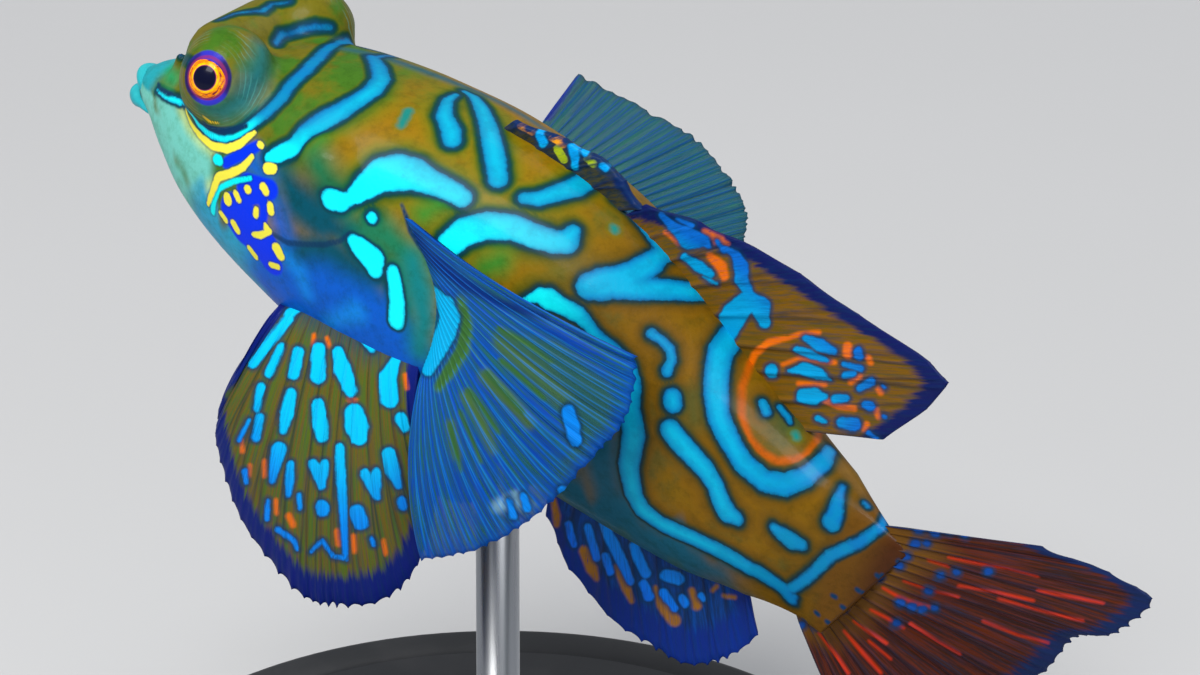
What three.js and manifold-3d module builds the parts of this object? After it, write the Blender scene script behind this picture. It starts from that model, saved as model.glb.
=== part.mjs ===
// A life-size model of a mandarinfish, hovering nose up on a plain display stand.
// Millimetres, +Z up. The origin is the centre of the stand's underside, below the point where the rod meets the belly.
// The fish itself is laid out in its own swimming frame and then pitched: +X runs from the snout to the tail,
// +Z is its back, and its left flank faces -Y.
import * as THREE from "three";
import { mergeVertices } from "three/addons/utils/BufferGeometryUtils.js";
import Module from "manifold-3d";

const wasm = await Module();
wasm.setup();

// Driving dimensions of the fish
const BODY_LENGTH = 51.5;
const PITCH_DEG = 20;
const GAP = 0.25;
const EYE_GAP = 0.15;

// Where the body bends: the tail swings to the fish's left
const BEND_AT = [0, 8, 17, 29, 40, 51.5];
const BEND_DEG = [7, 7, 7, 12, 20, 24];

// Body sections: distance from the snout, height of the back, depth of the belly, half width
const STATION = [0, 1.5, 3.5, 6, 9, 12, 16, 21, 26, 31, 36, 41, 46, 51.5];
const BACK = [-0.9, 0.1, 1.9, 4.0, 5.7, 6.7, 7.6, 8.3, 8.4, 7.9, 6.7, 5.4, 4.6, 4.0];
const BELLY = [-2.5, -2.9, -3.6, -5.0, -6.4, -7.4, -8.2, -8.6, -8.5, -8.2, -7.8, -7.0, -5.8, -4.8];
const HALF_WIDTH = [1.1, 2.2, 3.8, 5.2, 6.2, 6.7, 7.0, 7.0, 6.7, 6.0, 4.9, 3.7, 2.7, 2.0];
const SECTION_POWER = 2.3;
// The tail's end is slanted: its lower edge lies this far ahead of its upper edge
const TAIL_SLANT = 3.0;
const SLANT_FROM = 40;

// Where the body is parted into head, trunk and tail
const HEAD_END = 17;
const TRUNK_END = 34;

// Eyes
const ORBIT = { s: 6.4, side: 3.9, z: 3.7, radii: [2.6, 2.4, 2.6] };
const EYE_RADIUS = 1.75;
const EYE_OUT = 1.0;
const EYE_TILT_DEG = 20;

// Mouth
const LIP_RADIUS = 0.6;
const LIP_HALF_WIDTH = 1.5;
const MOUTH_HEIGHT = -1.65;
const LIP_SPACING = 1.35;

// Nostrils and gill openings
const NOSTRIL = { s: 2.6, turn: 34, radius: 0.36, height: 0.9 };
const GILL = { s: 14.7, turn: 57, radii: [1.2, 0.7, 0.9], pit: 0.5 };

// Fins
const MEMBRANE = 0.5;
const RAY_RISE = 0.34;
const ROOT_SINK = 1.3;

// Stand
const BASE_RADIUS = 24;
const BASE_HEIGHT = 5;
const BASE_CHAMFER = 1;
const ROD_RADIUS = 1.2;
const ROD_AT = 27;
const BELLY_HEIGHT = 30;

const rad = THREE.MathUtils.degToRad;
const mix = THREE.MathUtils.lerp;

// A smooth curve through a table of values that never overshoots them (monotone cubic).
function smoothTable(xs, ys) {
  const n = xs.length;
  const h = xs.slice(1).map((x, i) => x - xs[i]);
  const d = h.map((hi, i) => (ys[i + 1] - ys[i]) / hi);
  const m = ys.map((_, i) => {
    if (i === 0) return d[0];
    if (i === n - 1) return d[n - 2];
    if (d[i - 1] * d[i] <= 0) return 0;
    const w1 = 2 * h[i] + h[i - 1];
    const w2 = h[i] + 2 * h[i - 1];
    return (w1 + w2) / (w1 / d[i - 1] + w2 / d[i]);
  });
  return (x) => {
    let i = 0;
    while (i < n - 2 && x > xs[i + 1]) i++;
    const t = THREE.MathUtils.clamp((x - xs[i]) / h[i], 0, 1);
    const t2 = t * t;
    const t3 = t2 * t;
    return (
      (2 * t3 - 3 * t2 + 1) * ys[i] +
      (t3 - 2 * t2 + t) * h[i] * m[i] +
      (3 * t2 - 2 * t3) * ys[i + 1] +
      (t3 - t2) * h[i] * m[i + 1]
    );
  };
}

const backAt = smoothTable(STATION, BACK);
const bellyAt = smoothTable(STATION, BELLY);
const widthAt = smoothTable(STATION, HALF_WIDTH);
const bendAt = smoothTable(BEND_AT, BEND_DEG);

// The body's middle line, found by adding up short steps along its heading.
const AXIS_STEPS = 200;
const axisPoints = [new THREE.Vector2(0, 0)];
for (let i = 1; i <= AXIS_STEPS; i++) {
  const step = BODY_LENGTH / AXIS_STEPS;
  const heading = rad(bendAt((i - 0.5) * step));
  const last = axisPoints[i - 1];
  axisPoints.push(new THREE.Vector2(last.x + step * Math.cos(heading), last.y - step * Math.sin(heading)));
}

// A point at a distance s from the snout, side mm to the right of the middle line and z mm above it.
function bodyPoint(s, side, z) {
  const inside = THREE.MathUtils.clamp(s, 0, BODY_LENGTH);
  const heading = rad(bendAt(inside));
  const place = (inside / BODY_LENGTH) * AXIS_STEPS;
  const i = Math.min(Math.floor(place), AXIS_STEPS - 1);
  const on = axisPoints[i].clone().lerp(axisPoints[i + 1], place - i);
  const beyond = s - inside;
  return new THREE.Vector3(
    on.x + beyond * Math.cos(heading) + side * Math.sin(heading),
    on.y - beyond * Math.sin(heading) + side * Math.cos(heading),
    z,
  );
}

// A point on the skin: turn is 0 on the back, 90 on the left flank, 180 on the belly and -90 on the right flank.
function skinPoint(s, turn, grow = 0) {
  const back = backAt(s) + grow;
  const belly = bellyAt(s) - grow;
  const width = widthAt(s) + grow;
  const c = Math.cos(rad(turn));
  const q = Math.sin(rad(turn));
  const r = (Math.abs(c) ** SECTION_POWER + Math.abs(q) ** SECTION_POWER) ** (-1 / SECTION_POWER);
  const slant = TAIL_SLANT * THREE.MathUtils.smoothstep(s, SLANT_FROM, BODY_LENGTH) * ((1 - c) / 2);
  return bodyPoint(s - slant, -width * q * r, (back + belly) / 2 + ((back - belly) / 2) * c * r);
}

// The outward direction at a point on the skin.
function skinNormal(s, turn) {
  const step = 0.2;
  const along = skinPoint(s + step, turn).sub(skinPoint(s - step, turn));
  const around = skinPoint(s, turn + 2).sub(skinPoint(s, turn - 2));
  return around.cross(along).normalize();
}

// Closed surface from rings of points, with a middle point closing each end.
function ringsGeometry(rings) {
  const n = rings[0].length;
  const points = rings.flat();
  const middle = (ring) => ring.reduce((sum, p) => sum.add(p), new THREE.Vector3()).divideScalar(n);
  const first = points.push(middle(rings[0])) - 1;
  const last = points.push(middle(rings[rings.length - 1])) - 1;
  const index = [];
  for (let i = 0; i < rings.length - 1; i++) {
    for (let j = 0; j < n; j++) {
      const k = (j + 1) % n;
      const [a, b, c, d] = [i * n + j, i * n + k, (i + 1) * n + k, (i + 1) * n + j];
      index.push(a, b, c, a, c, d);
    }
  }
  const end = (rings.length - 1) * n;
  for (let j = 0; j < n; j++) {
    const k = (j + 1) % n;
    index.push(first, k, j);
    index.push(last, end + j, end + k);
  }
  const geometry = new THREE.BufferGeometry().setFromPoints(points);
  geometry.setIndex(index);
  return geometry;
}

// A geometry as a manifold-3d solid, turned the right way round.
function solid(geometry) {
  const plain = geometry.index ? geometry.toNonIndexed() : geometry.clone();
  const bare = new THREE.BufferGeometry().setAttribute("position", plain.getAttribute("position"));
  const merged = mergeVertices(bare, 1e-4);
  const make = (triVerts) =>
    new wasm.Manifold(new wasm.Mesh({ numProp: 3, vertProperties: merged.attributes.position.array, triVerts }));
  const triVerts = new Uint32Array(merged.index.array);
  const made = make(triVerts);
  if (made.volume() >= 0) return made;
  for (let i = 0; i < triVerts.length; i += 3) [triVerts[i + 1], triVerts[i + 2]] = [triVerts[i + 2], triVerts[i + 1]];
  return make(triVerts);
}

// The largest closed surface of a solid, as a named mesh.
function mesh(name, made, material) {
  const parts = made.decompose().sort((a, b) => b.volume() - a.volume());
  const m = parts[0].getMesh();
  const position = new Float32Array(m.numVert * 3);
  for (let i = 0; i < m.numVert; i++) position.set(m.vertProperties.subarray(i * m.numProp, i * m.numProp + 3), i * 3);
  const geometry = new THREE.BufferGeometry();
  geometry.setAttribute("position", new THREE.BufferAttribute(position, 3));
  geometry.setIndex(new THREE.BufferAttribute(m.triVerts, 1));
  geometry.computeVertexNormals();
  const out = new THREE.Mesh(geometry, material);
  out.name = name;
  return out;
}

// A length of the body between two distances from the snout.
function bodyLength(from, to, rows, around, grow = 0) {
  const rings = [];
  for (let i = 0; i <= rows; i++) {
    const s = mix(from, to, i / rows);
    const ring = [];
    for (let j = 0; j < around; j++) ring.push(skinPoint(s, (360 * j) / around, grow));
    rings.push(ring);
  }
  return solid(ringsGeometry(rings));
}

function ball(centre, radii, wide = 18, high = 12) {
  const geometry = new THREE.SphereGeometry(1, wide, high);
  geometry.scale(radii[0], radii[1], radii[2]);
  geometry.translate(centre.x, centre.y, centre.z);
  return solid(geometry);
}

// A round tube along points, with a radius for each point and rounded ends.
function taperedTube(points, radii, sides = 10) {
  const curve = new THREE.CatmullRomCurve3(points);
  const steps = (points.length - 1) * 3;
  const frames = curve.computeFrenetFrames(steps, false);
  const rings = [];
  for (let i = 0; i <= steps; i++) {
    const t = i / steps;
    const p = curve.getPoint(t);
    const at = t * (radii.length - 1);
    const k = Math.min(Math.floor(at), radii.length - 2);
    const r = mix(radii[k], radii[k + 1], at - k);
    const ring = [];
    for (let j = 0; j < sides; j++) {
      const a = (2 * Math.PI * j) / sides;
      const offset = frames.normals[i].clone().multiplyScalar(r * Math.cos(a));
      ring.push(offset.addScaledVector(frames.binormals[i], r * Math.sin(a)).add(p));
    }
    rings.push(ring);
  }
  return solid(ringsGeometry(rings));
}

// A fin: a thin curved fan from a base line to a line of tips, with its rays raised as ridges on both faces.
// The margin steps in a little between the rays, cup bows the fan across its rays and lift bows the rays themselves.
function fin({ base, tips, rays, rows, cup = 0, lift = 0, notch = 0.05, thick = MEMBRANE, rise = RAY_RISE, perRay = 2 }) {
  const baseCurve = new THREE.CatmullRomCurve3(base, false, "centripetal");
  const tipCurve = new THREE.CatmullRomCurve3(tips, false, "centripetal");
  const columns = (rays - 1) * perRay;
  const middleBase = baseCurve.getPoint(0.5);
  const facing = tips[tips.length - 1].clone().sub(middleBase).cross(tips[0].clone().sub(middleBase)).normalize();
  const place = (i, j) => {
    const u = i / columns;
    const v = j / rows;
    const root = baseCurve.getPoint(u);
    const tip = tipCurve.getPoint(u);
    const reach = i % perRay === 0 ? 1 : 1 - notch;
    return root
      .lerp(tip, v * mix(1, reach, v))
      .addScaledVector(facing, cup * Math.sin(Math.PI * v * 0.5) * Math.sin(Math.PI * u))
      .addScaledVector(facing, lift * 4 * v * (1 - v));
  };
  const grid = [];
  for (let i = 0; i <= columns; i++) grid.push(Array.from({ length: rows + 1 }, (_, j) => place(i, j)));
  const faces = [[], []];
  for (let i = 0; i <= columns; i++) {
    for (let j = 0; j <= rows; j++) {
      const across = grid[Math.min(i + 1, columns)][j].clone().sub(grid[Math.max(i - 1, 0)][j]);
      const along = grid[i][Math.min(j + 1, rows)].clone().sub(grid[i][Math.max(j - 1, 0)]);
      const normal = across.cross(along).normalize();
      const onRay = i % perRay === 0 ? 1 : 0;
      const half = (thick + rise * onRay * mix(1, 0.25, j / rows)) / 2;
      faces[0].push(grid[i][j].clone().addScaledVector(normal, half));
      faces[1].push(grid[i][j].clone().addScaledVector(normal, -half));
    }
  }
  const high = rows + 1;
  const side = faces[0].length;
  const index = [];
  const quad = (a, b, c, d) => index.push(a, b, c, a, c, d);
  for (let i = 0; i < columns; i++) {
    for (let j = 0; j < rows; j++) {
      const [a, b, c, d] = [i * high + j, (i + 1) * high + j, (i + 1) * high + j + 1, i * high + j + 1];
      quad(a, b, c, d);
      index.push(side + a, side + c, side + b, side + a, side + d, side + c);
    }
    const [a, b] = [i * high, (i + 1) * high];
    quad(side + a, side + b, b, a);
    quad(a + rows, b + rows, side + b + rows, side + a + rows);
  }
  for (let j = 0; j < rows; j++) {
    const end = columns * high;
    quad(j, j + 1, side + j + 1, side + j);
    quad(side + end + j, side + end + j + 1, end + j + 1, end + j);
  }
  const geometry = new THREE.BufferGeometry().setFromPoints([...faces[0], ...faces[1]]);
  geometry.setIndex(index);
  return solid(geometry);
}

// Root points under the skin, from places on it given as distance from the snout and turn.
function roots(places, sink = ROOT_SINK) {
  return places.map(([s, turn]) => skinPoint(s, turn).addScaledVector(skinNormal(s, turn), -sink));
}

const free = (points) => points.map(([x, y, z]) => new THREE.Vector3(x, y, z));
const onMidline = (points) => points.map(([s, z, side = 0]) => bodyPoint(s, side, z));

// Materials
const skin = (color) => new THREE.MeshStandardMaterial({ color, roughness: 0.35, metalness: 0 });
const materials = {
  head: skin(0x3f7a5c),
  trunk: skin(0x7a6a1e),
  tail: skin(0x8a5f14),
  lips: skin(0x35b4c4),
  eye: skin(0xe08a1a),
  pectoral: skin(0x1450b4),
  pelvic: skin(0x2a4f9e),
  dorsal: skin(0x3a3a6e),
  anal: skin(0x14348c),
  caudal: skin(0x6e2a14),
  base: new THREE.MeshStandardMaterial({ color: 0x26282b, roughness: 0.5, metalness: 0 }),
  rod: new THREE.MeshStandardMaterial({ color: 0xa8adb3, roughness: 0.3, metalness: 1 }),
};

// Head: the front length with the eye mounds, nostrils and gill openings, less the sockets and the mouth
function orbitCentre(hand) {
  return bodyPoint(ORBIT.s, hand * ORBIT.side, ORBIT.z);
}
function eyeCentre(hand) {
  const tilt = rad(EYE_TILT_DEG);
  return bodyPoint(ORBIT.s, hand * (ORBIT.side + EYE_OUT * Math.cos(tilt)), ORBIT.z + EYE_OUT * Math.sin(tilt));
}
function headSolid(grow = 0) {
  let made = bodyLength(-grow, HEAD_END - GAP / 2, 14, 32, grow);
  for (const hand of [-1, 1]) made = made.add(ball(orbitCentre(hand), ORBIT.radii.map((r) => r + grow)));
  if (grow > 0) return made;
  for (const hand of [-1, 1]) {
    const nostrilRoot = skinPoint(NOSTRIL.s, -hand * NOSTRIL.turn);
    const out = skinNormal(NOSTRIL.s, -hand * NOSTRIL.turn);
    const ends = [nostrilRoot.clone().addScaledVector(out, -NOSTRIL.height), nostrilRoot.addScaledVector(out, NOSTRIL.height)];
    made = made.add(taperedTube(ends, [NOSTRIL.radius * 1.2, NOSTRIL.radius], 8));
    made = made.subtract(ball(ends[1], Array(3).fill(NOSTRIL.radius * 0.6), 6, 4));
    const gill = skinPoint(GILL.s, -hand * GILL.turn);
    const gillOut = skinNormal(GILL.s, -hand * GILL.turn);
    made = made.add(ball(gill, GILL.radii, 12, 8));
    made = made.subtract(ball(gill.addScaledVector(gillOut, GILL.radii[1]), Array(3).fill(GILL.pit), 8, 6));
    made = made.subtract(ball(eyeCentre(hand), Array(3).fill(EYE_RADIUS + EYE_GAP), 18, 12));
  }
  const cleft = new THREE.BoxGeometry(3, 2 * LIP_HALF_WIDTH, 0.4);
  cleft.translate(0, 0, MOUTH_HEIGHT);
  return made.subtract(solid(cleft));
}

function lip(hand) {
  const z = MOUTH_HEIGHT + (hand * LIP_SPACING) / 2;
  const front = hand > 0 ? -0.25 : 0.05;
  const path = [
    bodyPoint(1.5, -LIP_HALF_WIDTH - 0.2, z - hand * 0.3),
    bodyPoint(0.35, -LIP_HALF_WIDTH * 0.8, z),
    bodyPoint(front, 0, z + hand * 0.05),
    bodyPoint(0.35, LIP_HALF_WIDTH * 0.8, z),
    bodyPoint(1.5, LIP_HALF_WIDTH + 0.2, z - hand * 0.3),
  ];
  return taperedTube(path, [0.25, LIP_RADIUS, LIP_RADIUS * 1.1, LIP_RADIUS, 0.25], 10);
}

// The whole body grown by the gap, which the fins and the rod are cut by
const grownTrunk = bodyLength(HEAD_END - 3, BODY_LENGTH + GAP, 30, 32, GAP);
const grownBody = headSolid(GAP).add(grownTrunk);

const fish = new THREE.Group();
fish.rotation.y = rad(PITCH_DEG);
const bellyContact = skinPoint(ROD_AT, 180).applyEuler(fish.rotation);
fish.position.set(-bellyContact.x, -bellyContact.y, BELLY_HEIGHT - bellyContact.z);

const head = headSolid();
fish.add(mesh("head", head, materials.head));
fish.add(mesh("trunk", bodyLength(HEAD_END + GAP / 2, TRUNK_END - GAP / 2, 11, 32), materials.trunk));
fish.add(mesh("tail", bodyLength(TRUNK_END + GAP / 2, BODY_LENGTH, 12, 28), materials.tail));

for (const [name, hand] of [["left", -1], ["right", 1]]) {
  fish.add(mesh("eye_" + name, ball(eyeCentre(hand), Array(3).fill(EYE_RADIUS), 18, 12), materials.eye));
}
const grownHead = headSolid(GAP);
fish.add(mesh("lip_upper", lip(1).subtract(grownHead), materials.lips));
fish.add(mesh("lip_lower", lip(-1).subtract(grownHead), materials.lips));

// Pectoral fins: the left one sweeps back and down, the right one is spread out to the side
const PECTORAL_ROOT = [[20.0, 60], [21.8, 69], [23.2, 80], [24.0, 93], [24.3, 106]];
const PECTORAL_LEFT_TIPS = [
  [34.4, -12.1, 5.9], [35.4, -12.6, 3.0], [34.7, -13, -0.2], [33.1, -13.4, -4.9], [30.8, -13.4, -8.6], [27.9, -13, -11.5],
];
const PECTORAL_RIGHT_TIPS = [
  [18.6, 15.5, 2.5], [22.7, 14.5, 3.6], [26.8, 13.5, 4.4], [29.7, 12.4, 3.9], [31.6, 11.2, 3.0], [32.4, 9.8, 1.7],
];
const mirrored = (places) => places.map(([s, turn]) => [s, -turn]);
const pectoral = { rays: 27, rows: 5, notch: 0.03 };
const addFin = (name, shape, material) => fish.add(mesh(name, fin(shape).subtract(grownBody), material));
addFin(
  "pectoral_fin_left",
  { ...pectoral, base: roots(PECTORAL_ROOT, 0.8), tips: free(PECTORAL_LEFT_TIPS), cup: 0.5, lift: 1.3 },
  materials.pectoral,
);
addFin(
  "pectoral_fin_right",
  { ...pectoral, base: roots(mirrored(PECTORAL_ROOT)), tips: free(PECTORAL_RIGHT_TIPS), cup: -0.8 },
  materials.pectoral,
);

// Pelvic fins: broad fans spread out and down from the throat to the belly
const PELVIC_ROOT = [[13.2, 158], [15.0, 142], [17.4, 130], [20.0, 122], [22.6, 117]];
const PELVIC_TIPS = [
  [13.2, -9, -12], [13.7, -9.6, -13.9], [16.9, -10.5, -17.4], [21.7, -11, -19.4], [23.9, -11, -18.8],
  [26.6, -10.6, -16.1], [26.8, -9.6, -11.9], [26.0, -9, -9.3],
];
const PELVIC_RIGHT_FOLD = 3.0;
const rightPelvicTips = PELVIC_TIPS.map(([x, y, z]) => [x + 1.0, -y - PELVIC_RIGHT_FOLD - 3.2, z - 0.3]);
const pelvic = { rays: 17, rows: 6, notch: 0.04 };
addFin(
  "pelvic_fin_left",
  { ...pelvic, base: roots(PELVIC_ROOT), tips: free(PELVIC_TIPS), cup: 1.0 },
  materials.pelvic,
);
addFin(
  "pelvic_fin_right",
  { ...pelvic, base: roots(mirrored(PELVIC_ROOT)), tips: free(rightPelvicTips), cup: -1.0 },
  materials.pelvic,
);

// Unpaired fins on the midline, as distance from the snout and height
const FIRST_DORSAL_ROOT = [[21.2, 0], [24.0, 0], [27.0, 0]];
const FIRST_DORSAL_TIPS = [[23.4, 9.4], [26.0, 10.1], [28.4, 9.9], [29.6, 9.0]];
addFin(
  "dorsal_fin_first",
  { base: roots(FIRST_DORSAL_ROOT), tips: onMidline(FIRST_DORSAL_TIPS), rays: 5, rows: 3, thick: 0.7, notch: 0.12 },
  materials.dorsal,
);
const SECOND_DORSAL_ROOT = [[30.4, 0], [34.4, 0], [38.6, 0], [43.0, 0]];
const SECOND_DORSAL_TIPS = [
  [36.3, 11.0], [39.9, 11.7], [43.9, 12.0], [49.5, 13.2], [51.0, 13.0], [50.4, 10.8], [48.8, 7.6],
];
addFin(
  "dorsal_fin_second",
  { base: roots(SECOND_DORSAL_ROOT), tips: onMidline(SECOND_DORSAL_TIPS), rays: 9, rows: 7 },
  materials.dorsal,
);
const ANAL_ROOT = [[30.8, 180], [35.5, 180], [40.5, 180], [45.6, 180]];
const ANAL_TIPS = [
  [31.6, -10.9], [34.6, -12.9], [38.4, -13.4], [41, -13], [43, -12.4], [44.7, -11], [45.8, -9.4], [46.6, -7.4],
];
addFin("anal_fin", { base: roots(ANAL_ROOT), tips: onMidline(ANAL_TIPS), rays: 9, rows: 6 }, materials.anal);

// Tail fin: a broad fan whose lower rays swing away to the right
const CAUDAL_ROOT = [[50.6, 3.4], [50.0, 1.6], [49.0, -0.8], [48.2, -2.6], [47.6, -4.0]];
const CAUDAL_TIPS = [
  [60, 9.6, 0], [66.9, 11.8, 0], [66.1, 9.0, 0], [63.9, 6.8, 0.4], [62.6, 3.2, 1.2], [60.6, -1.2, 2.4],
  [58.6, -5.6, 3.2], [56.2, -9.4, 3.2], [52.6, -9.8, 2.4],
];
addFin(
  "caudal_fin",
  { base: onMidline(CAUDAL_ROOT), tips: onMidline(CAUDAL_TIPS.map(([s, z, side]) => [s, z, side])), rays: 17, rows: 6 },
  materials.caudal,
);

// Stand
function standBase() {
  const profile = [
    [0, 0],
    [BASE_RADIUS, 0],
    [BASE_RADIUS, BASE_HEIGHT - BASE_CHAMFER],
    [BASE_RADIUS - BASE_CHAMFER, BASE_HEIGHT],
    [0, BASE_HEIGHT],
  ].map(([x, y]) => new THREE.Vector2(x, y));
  const geometry = new THREE.LatheGeometry(profile, 48);
  geometry.rotateX(Math.PI / 2);
  return solid(geometry);
}

function standRod() {
  const top = BELLY_HEIGHT + 2;
  const geometry = new THREE.CylinderGeometry(ROD_RADIUS, ROD_RADIUS, top - BASE_HEIGHT - GAP, 16);
  geometry.rotateX(Math.PI / 2);
  geometry.translate(0, 0, (top + BASE_HEIGHT + GAP) / 2);
  fish.updateMatrix();
  const inFish = fish.matrix.clone().invert();
  const cut = solid(geometry.applyMatrix4(inFish)).subtract(grownBody);
  return cut.transform(fish.matrix.elements.slice());
}

const model = new THREE.Group();
model.add(fish);
model.add(mesh("stand_base", standBase(), materials.base));
model.add(mesh("stand_rod", standRod(), materials.rod));

export default model;
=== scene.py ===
"""A life-size mandarinfish model, nose up on a plain display stand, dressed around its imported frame.

The fish is laid out in millimetres in its own swimming frame: s runs along its middle line from the snout
to the tail, side is to its right and z is towards its back. That frame is then pitched nose up and set over
the stand. Its left flank is the one that the camera sees. Colour marks are brush strokes given in pixels of
the photograph, with widths in pixels: each is laid on the surface where the camera sees it, and mirrored to
the other flank.
"""

import math

import bpy
import numpy as np
from bpy.props import FloatProperty, FloatVectorProperty, IntProperty, PointerProperty
from mathutils import Matrix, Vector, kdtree


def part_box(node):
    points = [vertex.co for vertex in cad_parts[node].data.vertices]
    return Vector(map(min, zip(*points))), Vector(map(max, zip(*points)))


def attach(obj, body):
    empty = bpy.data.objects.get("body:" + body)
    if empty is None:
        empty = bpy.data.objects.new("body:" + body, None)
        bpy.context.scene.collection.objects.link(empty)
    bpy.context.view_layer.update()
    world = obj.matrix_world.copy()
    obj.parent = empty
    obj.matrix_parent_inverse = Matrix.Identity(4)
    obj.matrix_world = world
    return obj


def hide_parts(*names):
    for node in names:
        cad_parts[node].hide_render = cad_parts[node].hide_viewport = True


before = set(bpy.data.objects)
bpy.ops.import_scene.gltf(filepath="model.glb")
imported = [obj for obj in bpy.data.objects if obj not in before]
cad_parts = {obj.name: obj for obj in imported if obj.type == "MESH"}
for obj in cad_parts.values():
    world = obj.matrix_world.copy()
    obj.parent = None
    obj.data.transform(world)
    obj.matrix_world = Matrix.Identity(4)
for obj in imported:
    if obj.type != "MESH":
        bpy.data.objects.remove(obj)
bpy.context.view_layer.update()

bl_info = {
    "name": "Mandarinfish model",
    "version": (1, 0, 0),
    "blender": (4, 5, 0),
    "location": "View3D > Sidebar > Fish",
    "description": "Builds a life-size mandarinfish on a display stand",
    "category": "Object",
}

MM = 0.001

# The fish's sizes, as in the frame

BODY_LENGTH = 51.5
PITCH = math.radians(20)
BELLY_HEIGHT = 30.0
ROD_AT = 27.0
BEND_AT = (0, 8, 17, 29, 40, 51.5)
BEND_DEG = (7, 7, 7, 12, 20, 24)
STATION = (0, 1.5, 3.5, 6, 9, 12, 16, 21, 26, 31, 36, 41, 46, 51.5)
BACK = (-0.75, 0.5, 2.3, 4.1, 5.7, 6.7, 7.6, 8.3, 8.4, 7.9, 6.7, 5.4, 4.6, 4.0)
BELLY = (-2.6, -3.1, -4.1, -5.5, -6.6, -7.4, -8.2, -8.6, -8.5, -8.2, -7.8, -7.0, -5.8, -4.8)
HALF_WIDTH = (1.1, 2.2, 3.8, 5.2, 6.2, 6.7, 7.0, 7.0, 6.7, 6.0, 4.9, 3.7, 2.7, 2.0)
SECTION_POWER = 2.3
TAIL_SLANT = 3.0
SLANT_FROM = 40.0

ORBIT = {"s": 6.4, "side": 3.9, "z": 3.7, "radius": 2.5}
EYE_RADIUS = 1.75
EYE_OUT = 1.0
EYE_TILT = math.radians(20)
GAZE = np.array([0.0, -math.cos(EYE_TILT), math.sin(EYE_TILT)])
ORBIT_LEFT = np.array([ORBIT["s"], -ORBIT["side"], ORBIT["z"]])
ORBIT_STRETCH = np.array([1.0, 1.0, 1.14])
MOUND_THICK = 0.05
LID_RING = {"radius": 1.38, "thick": 0.22, "out": 2.05}
SADDLE = {"s": 4.9, "half_width": 2.0, "z": 3.4, "radius": 2.1}
NOSTRIL = {"foot": (2.6, -1.75, 1.0), "top": (2.45, -2.05, 1.85), "radius": 0.38, "taper": 0.04}
GILL_BULGE = {"at": (14.7, -6.0, 3.9), "radii": (1.35, 0.85, 1.1)}

LIP_RADIUS = 0.5
LIP_HALF_WIDTH = 1.25
MOUTH_HEIGHT = -2.2
LIP_SPACING = 1.35

ROOT_SINK = 1.3

BASE_RADIUS = 24.0
BASE_HEIGHT = 5.0
ROD_RADIUS = 1.2
GAP = 0.25

# The camera of the photograph

PHOTO_SIZE = (1200, 675)
MM_PER_PIXEL = 0.054
CAMERA_DISTANCE = 290.0
CAMERA_AZIMUTH = math.radians(25)
CAMERA_ELEVATION = math.radians(25)
FOCUS_POINT = (25.0, 0.0, 0.0)
SNOUT_POINT = (0.0, 0.0, -2.3)
SNOUT_PIXEL = (147.0, 86.0)
SENSOR = 36.0


# Curves and the body's shape


def smooth_table(xs, ys):
    """A monotone cubic through a table: Hermite spans whose slopes are weighted harmonic means of their
    neighbours."""
    xs, ys = np.array(xs, float), np.array(ys, float)
    h = np.diff(xs)
    d = np.diff(ys) / h
    m = np.concatenate([d[:1], np.zeros(len(d) - 1), d[-1:]])
    turning = d[:-1] * d[1:] > 0
    a, b = 2 * h[1:] + h[:-1], h[1:] + 2 * h[:-1]
    with np.errstate(divide="ignore", invalid="ignore"):
        m[1:-1] = np.where(turning, (a + b) / (a / d[:-1] + b / d[1:]), 0.0)

    def value(x):
        """The table's value at x, held at its ends."""
        x = np.asarray(x, float)
        i = np.clip(np.searchsorted(xs, x) - 1, 0, len(h) - 1)
        t = np.clip((x - xs[i]) / h[i], 0, 1)
        return (
            (2 * t**3 - 3 * t**2 + 1) * ys[i]
            + (t**3 - 2 * t**2 + t) * h[i] * m[i]
            + (3 * t**2 - 2 * t**3) * ys[i + 1]
            + (t**3 - t**2) * h[i] * m[i + 1]
        )

    return value


back_at = smooth_table(STATION, BACK)
belly_at = smooth_table(STATION, BELLY)
width_at = smooth_table(STATION, HALF_WIDTH)
bend_at = smooth_table(BEND_AT, BEND_DEG)

AXIS_STEPS = 400
axis_s = np.linspace(0, BODY_LENGTH, AXIS_STEPS + 1)
axis_heading = np.radians(bend_at((axis_s[1:] + axis_s[:-1]) / 2))
axis_x = np.concatenate([[0], np.cumsum(np.cos(axis_heading))]) * BODY_LENGTH / AXIS_STEPS
axis_y = -np.concatenate([[0], np.cumsum(np.sin(axis_heading))]) * BODY_LENGTH / AXIS_STEPS


def smoothstep(x, low, high):
    """0 below low, 1 above high, and 3t^2 - 2t^3 between."""
    t = np.clip((np.asarray(x, float) - low) / (high - low), 0, 1)
    return t * t * (3 - 2 * t)


def body_point(s, side, z):
    """The middle line's point at s, moved side across its heading and z up; past its ends the line runs
    straight."""
    s, side, z = np.broadcast_arrays(*(np.asarray(v, float) for v in (s, side, z)))
    inside = np.clip(s, 0, BODY_LENGTH)
    heading = np.radians(bend_at(inside))
    beyond = s - inside
    x = np.interp(inside, axis_s, axis_x) + beyond * np.cos(heading) + side * np.sin(heading)
    y = np.interp(inside, axis_s, axis_y) - beyond * np.sin(heading) + side * np.cos(heading)
    return np.stack([x, y, z], -1)


def slanted(s, c):
    """The tail's slant: towards its end, a place moves ahead by up to TAIL_SLANT from its upper to its
    lower edge."""
    return s - TAIL_SLANT * smoothstep(s, SLANT_FROM, BODY_LENGTH) * (1 - c) / 2


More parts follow.
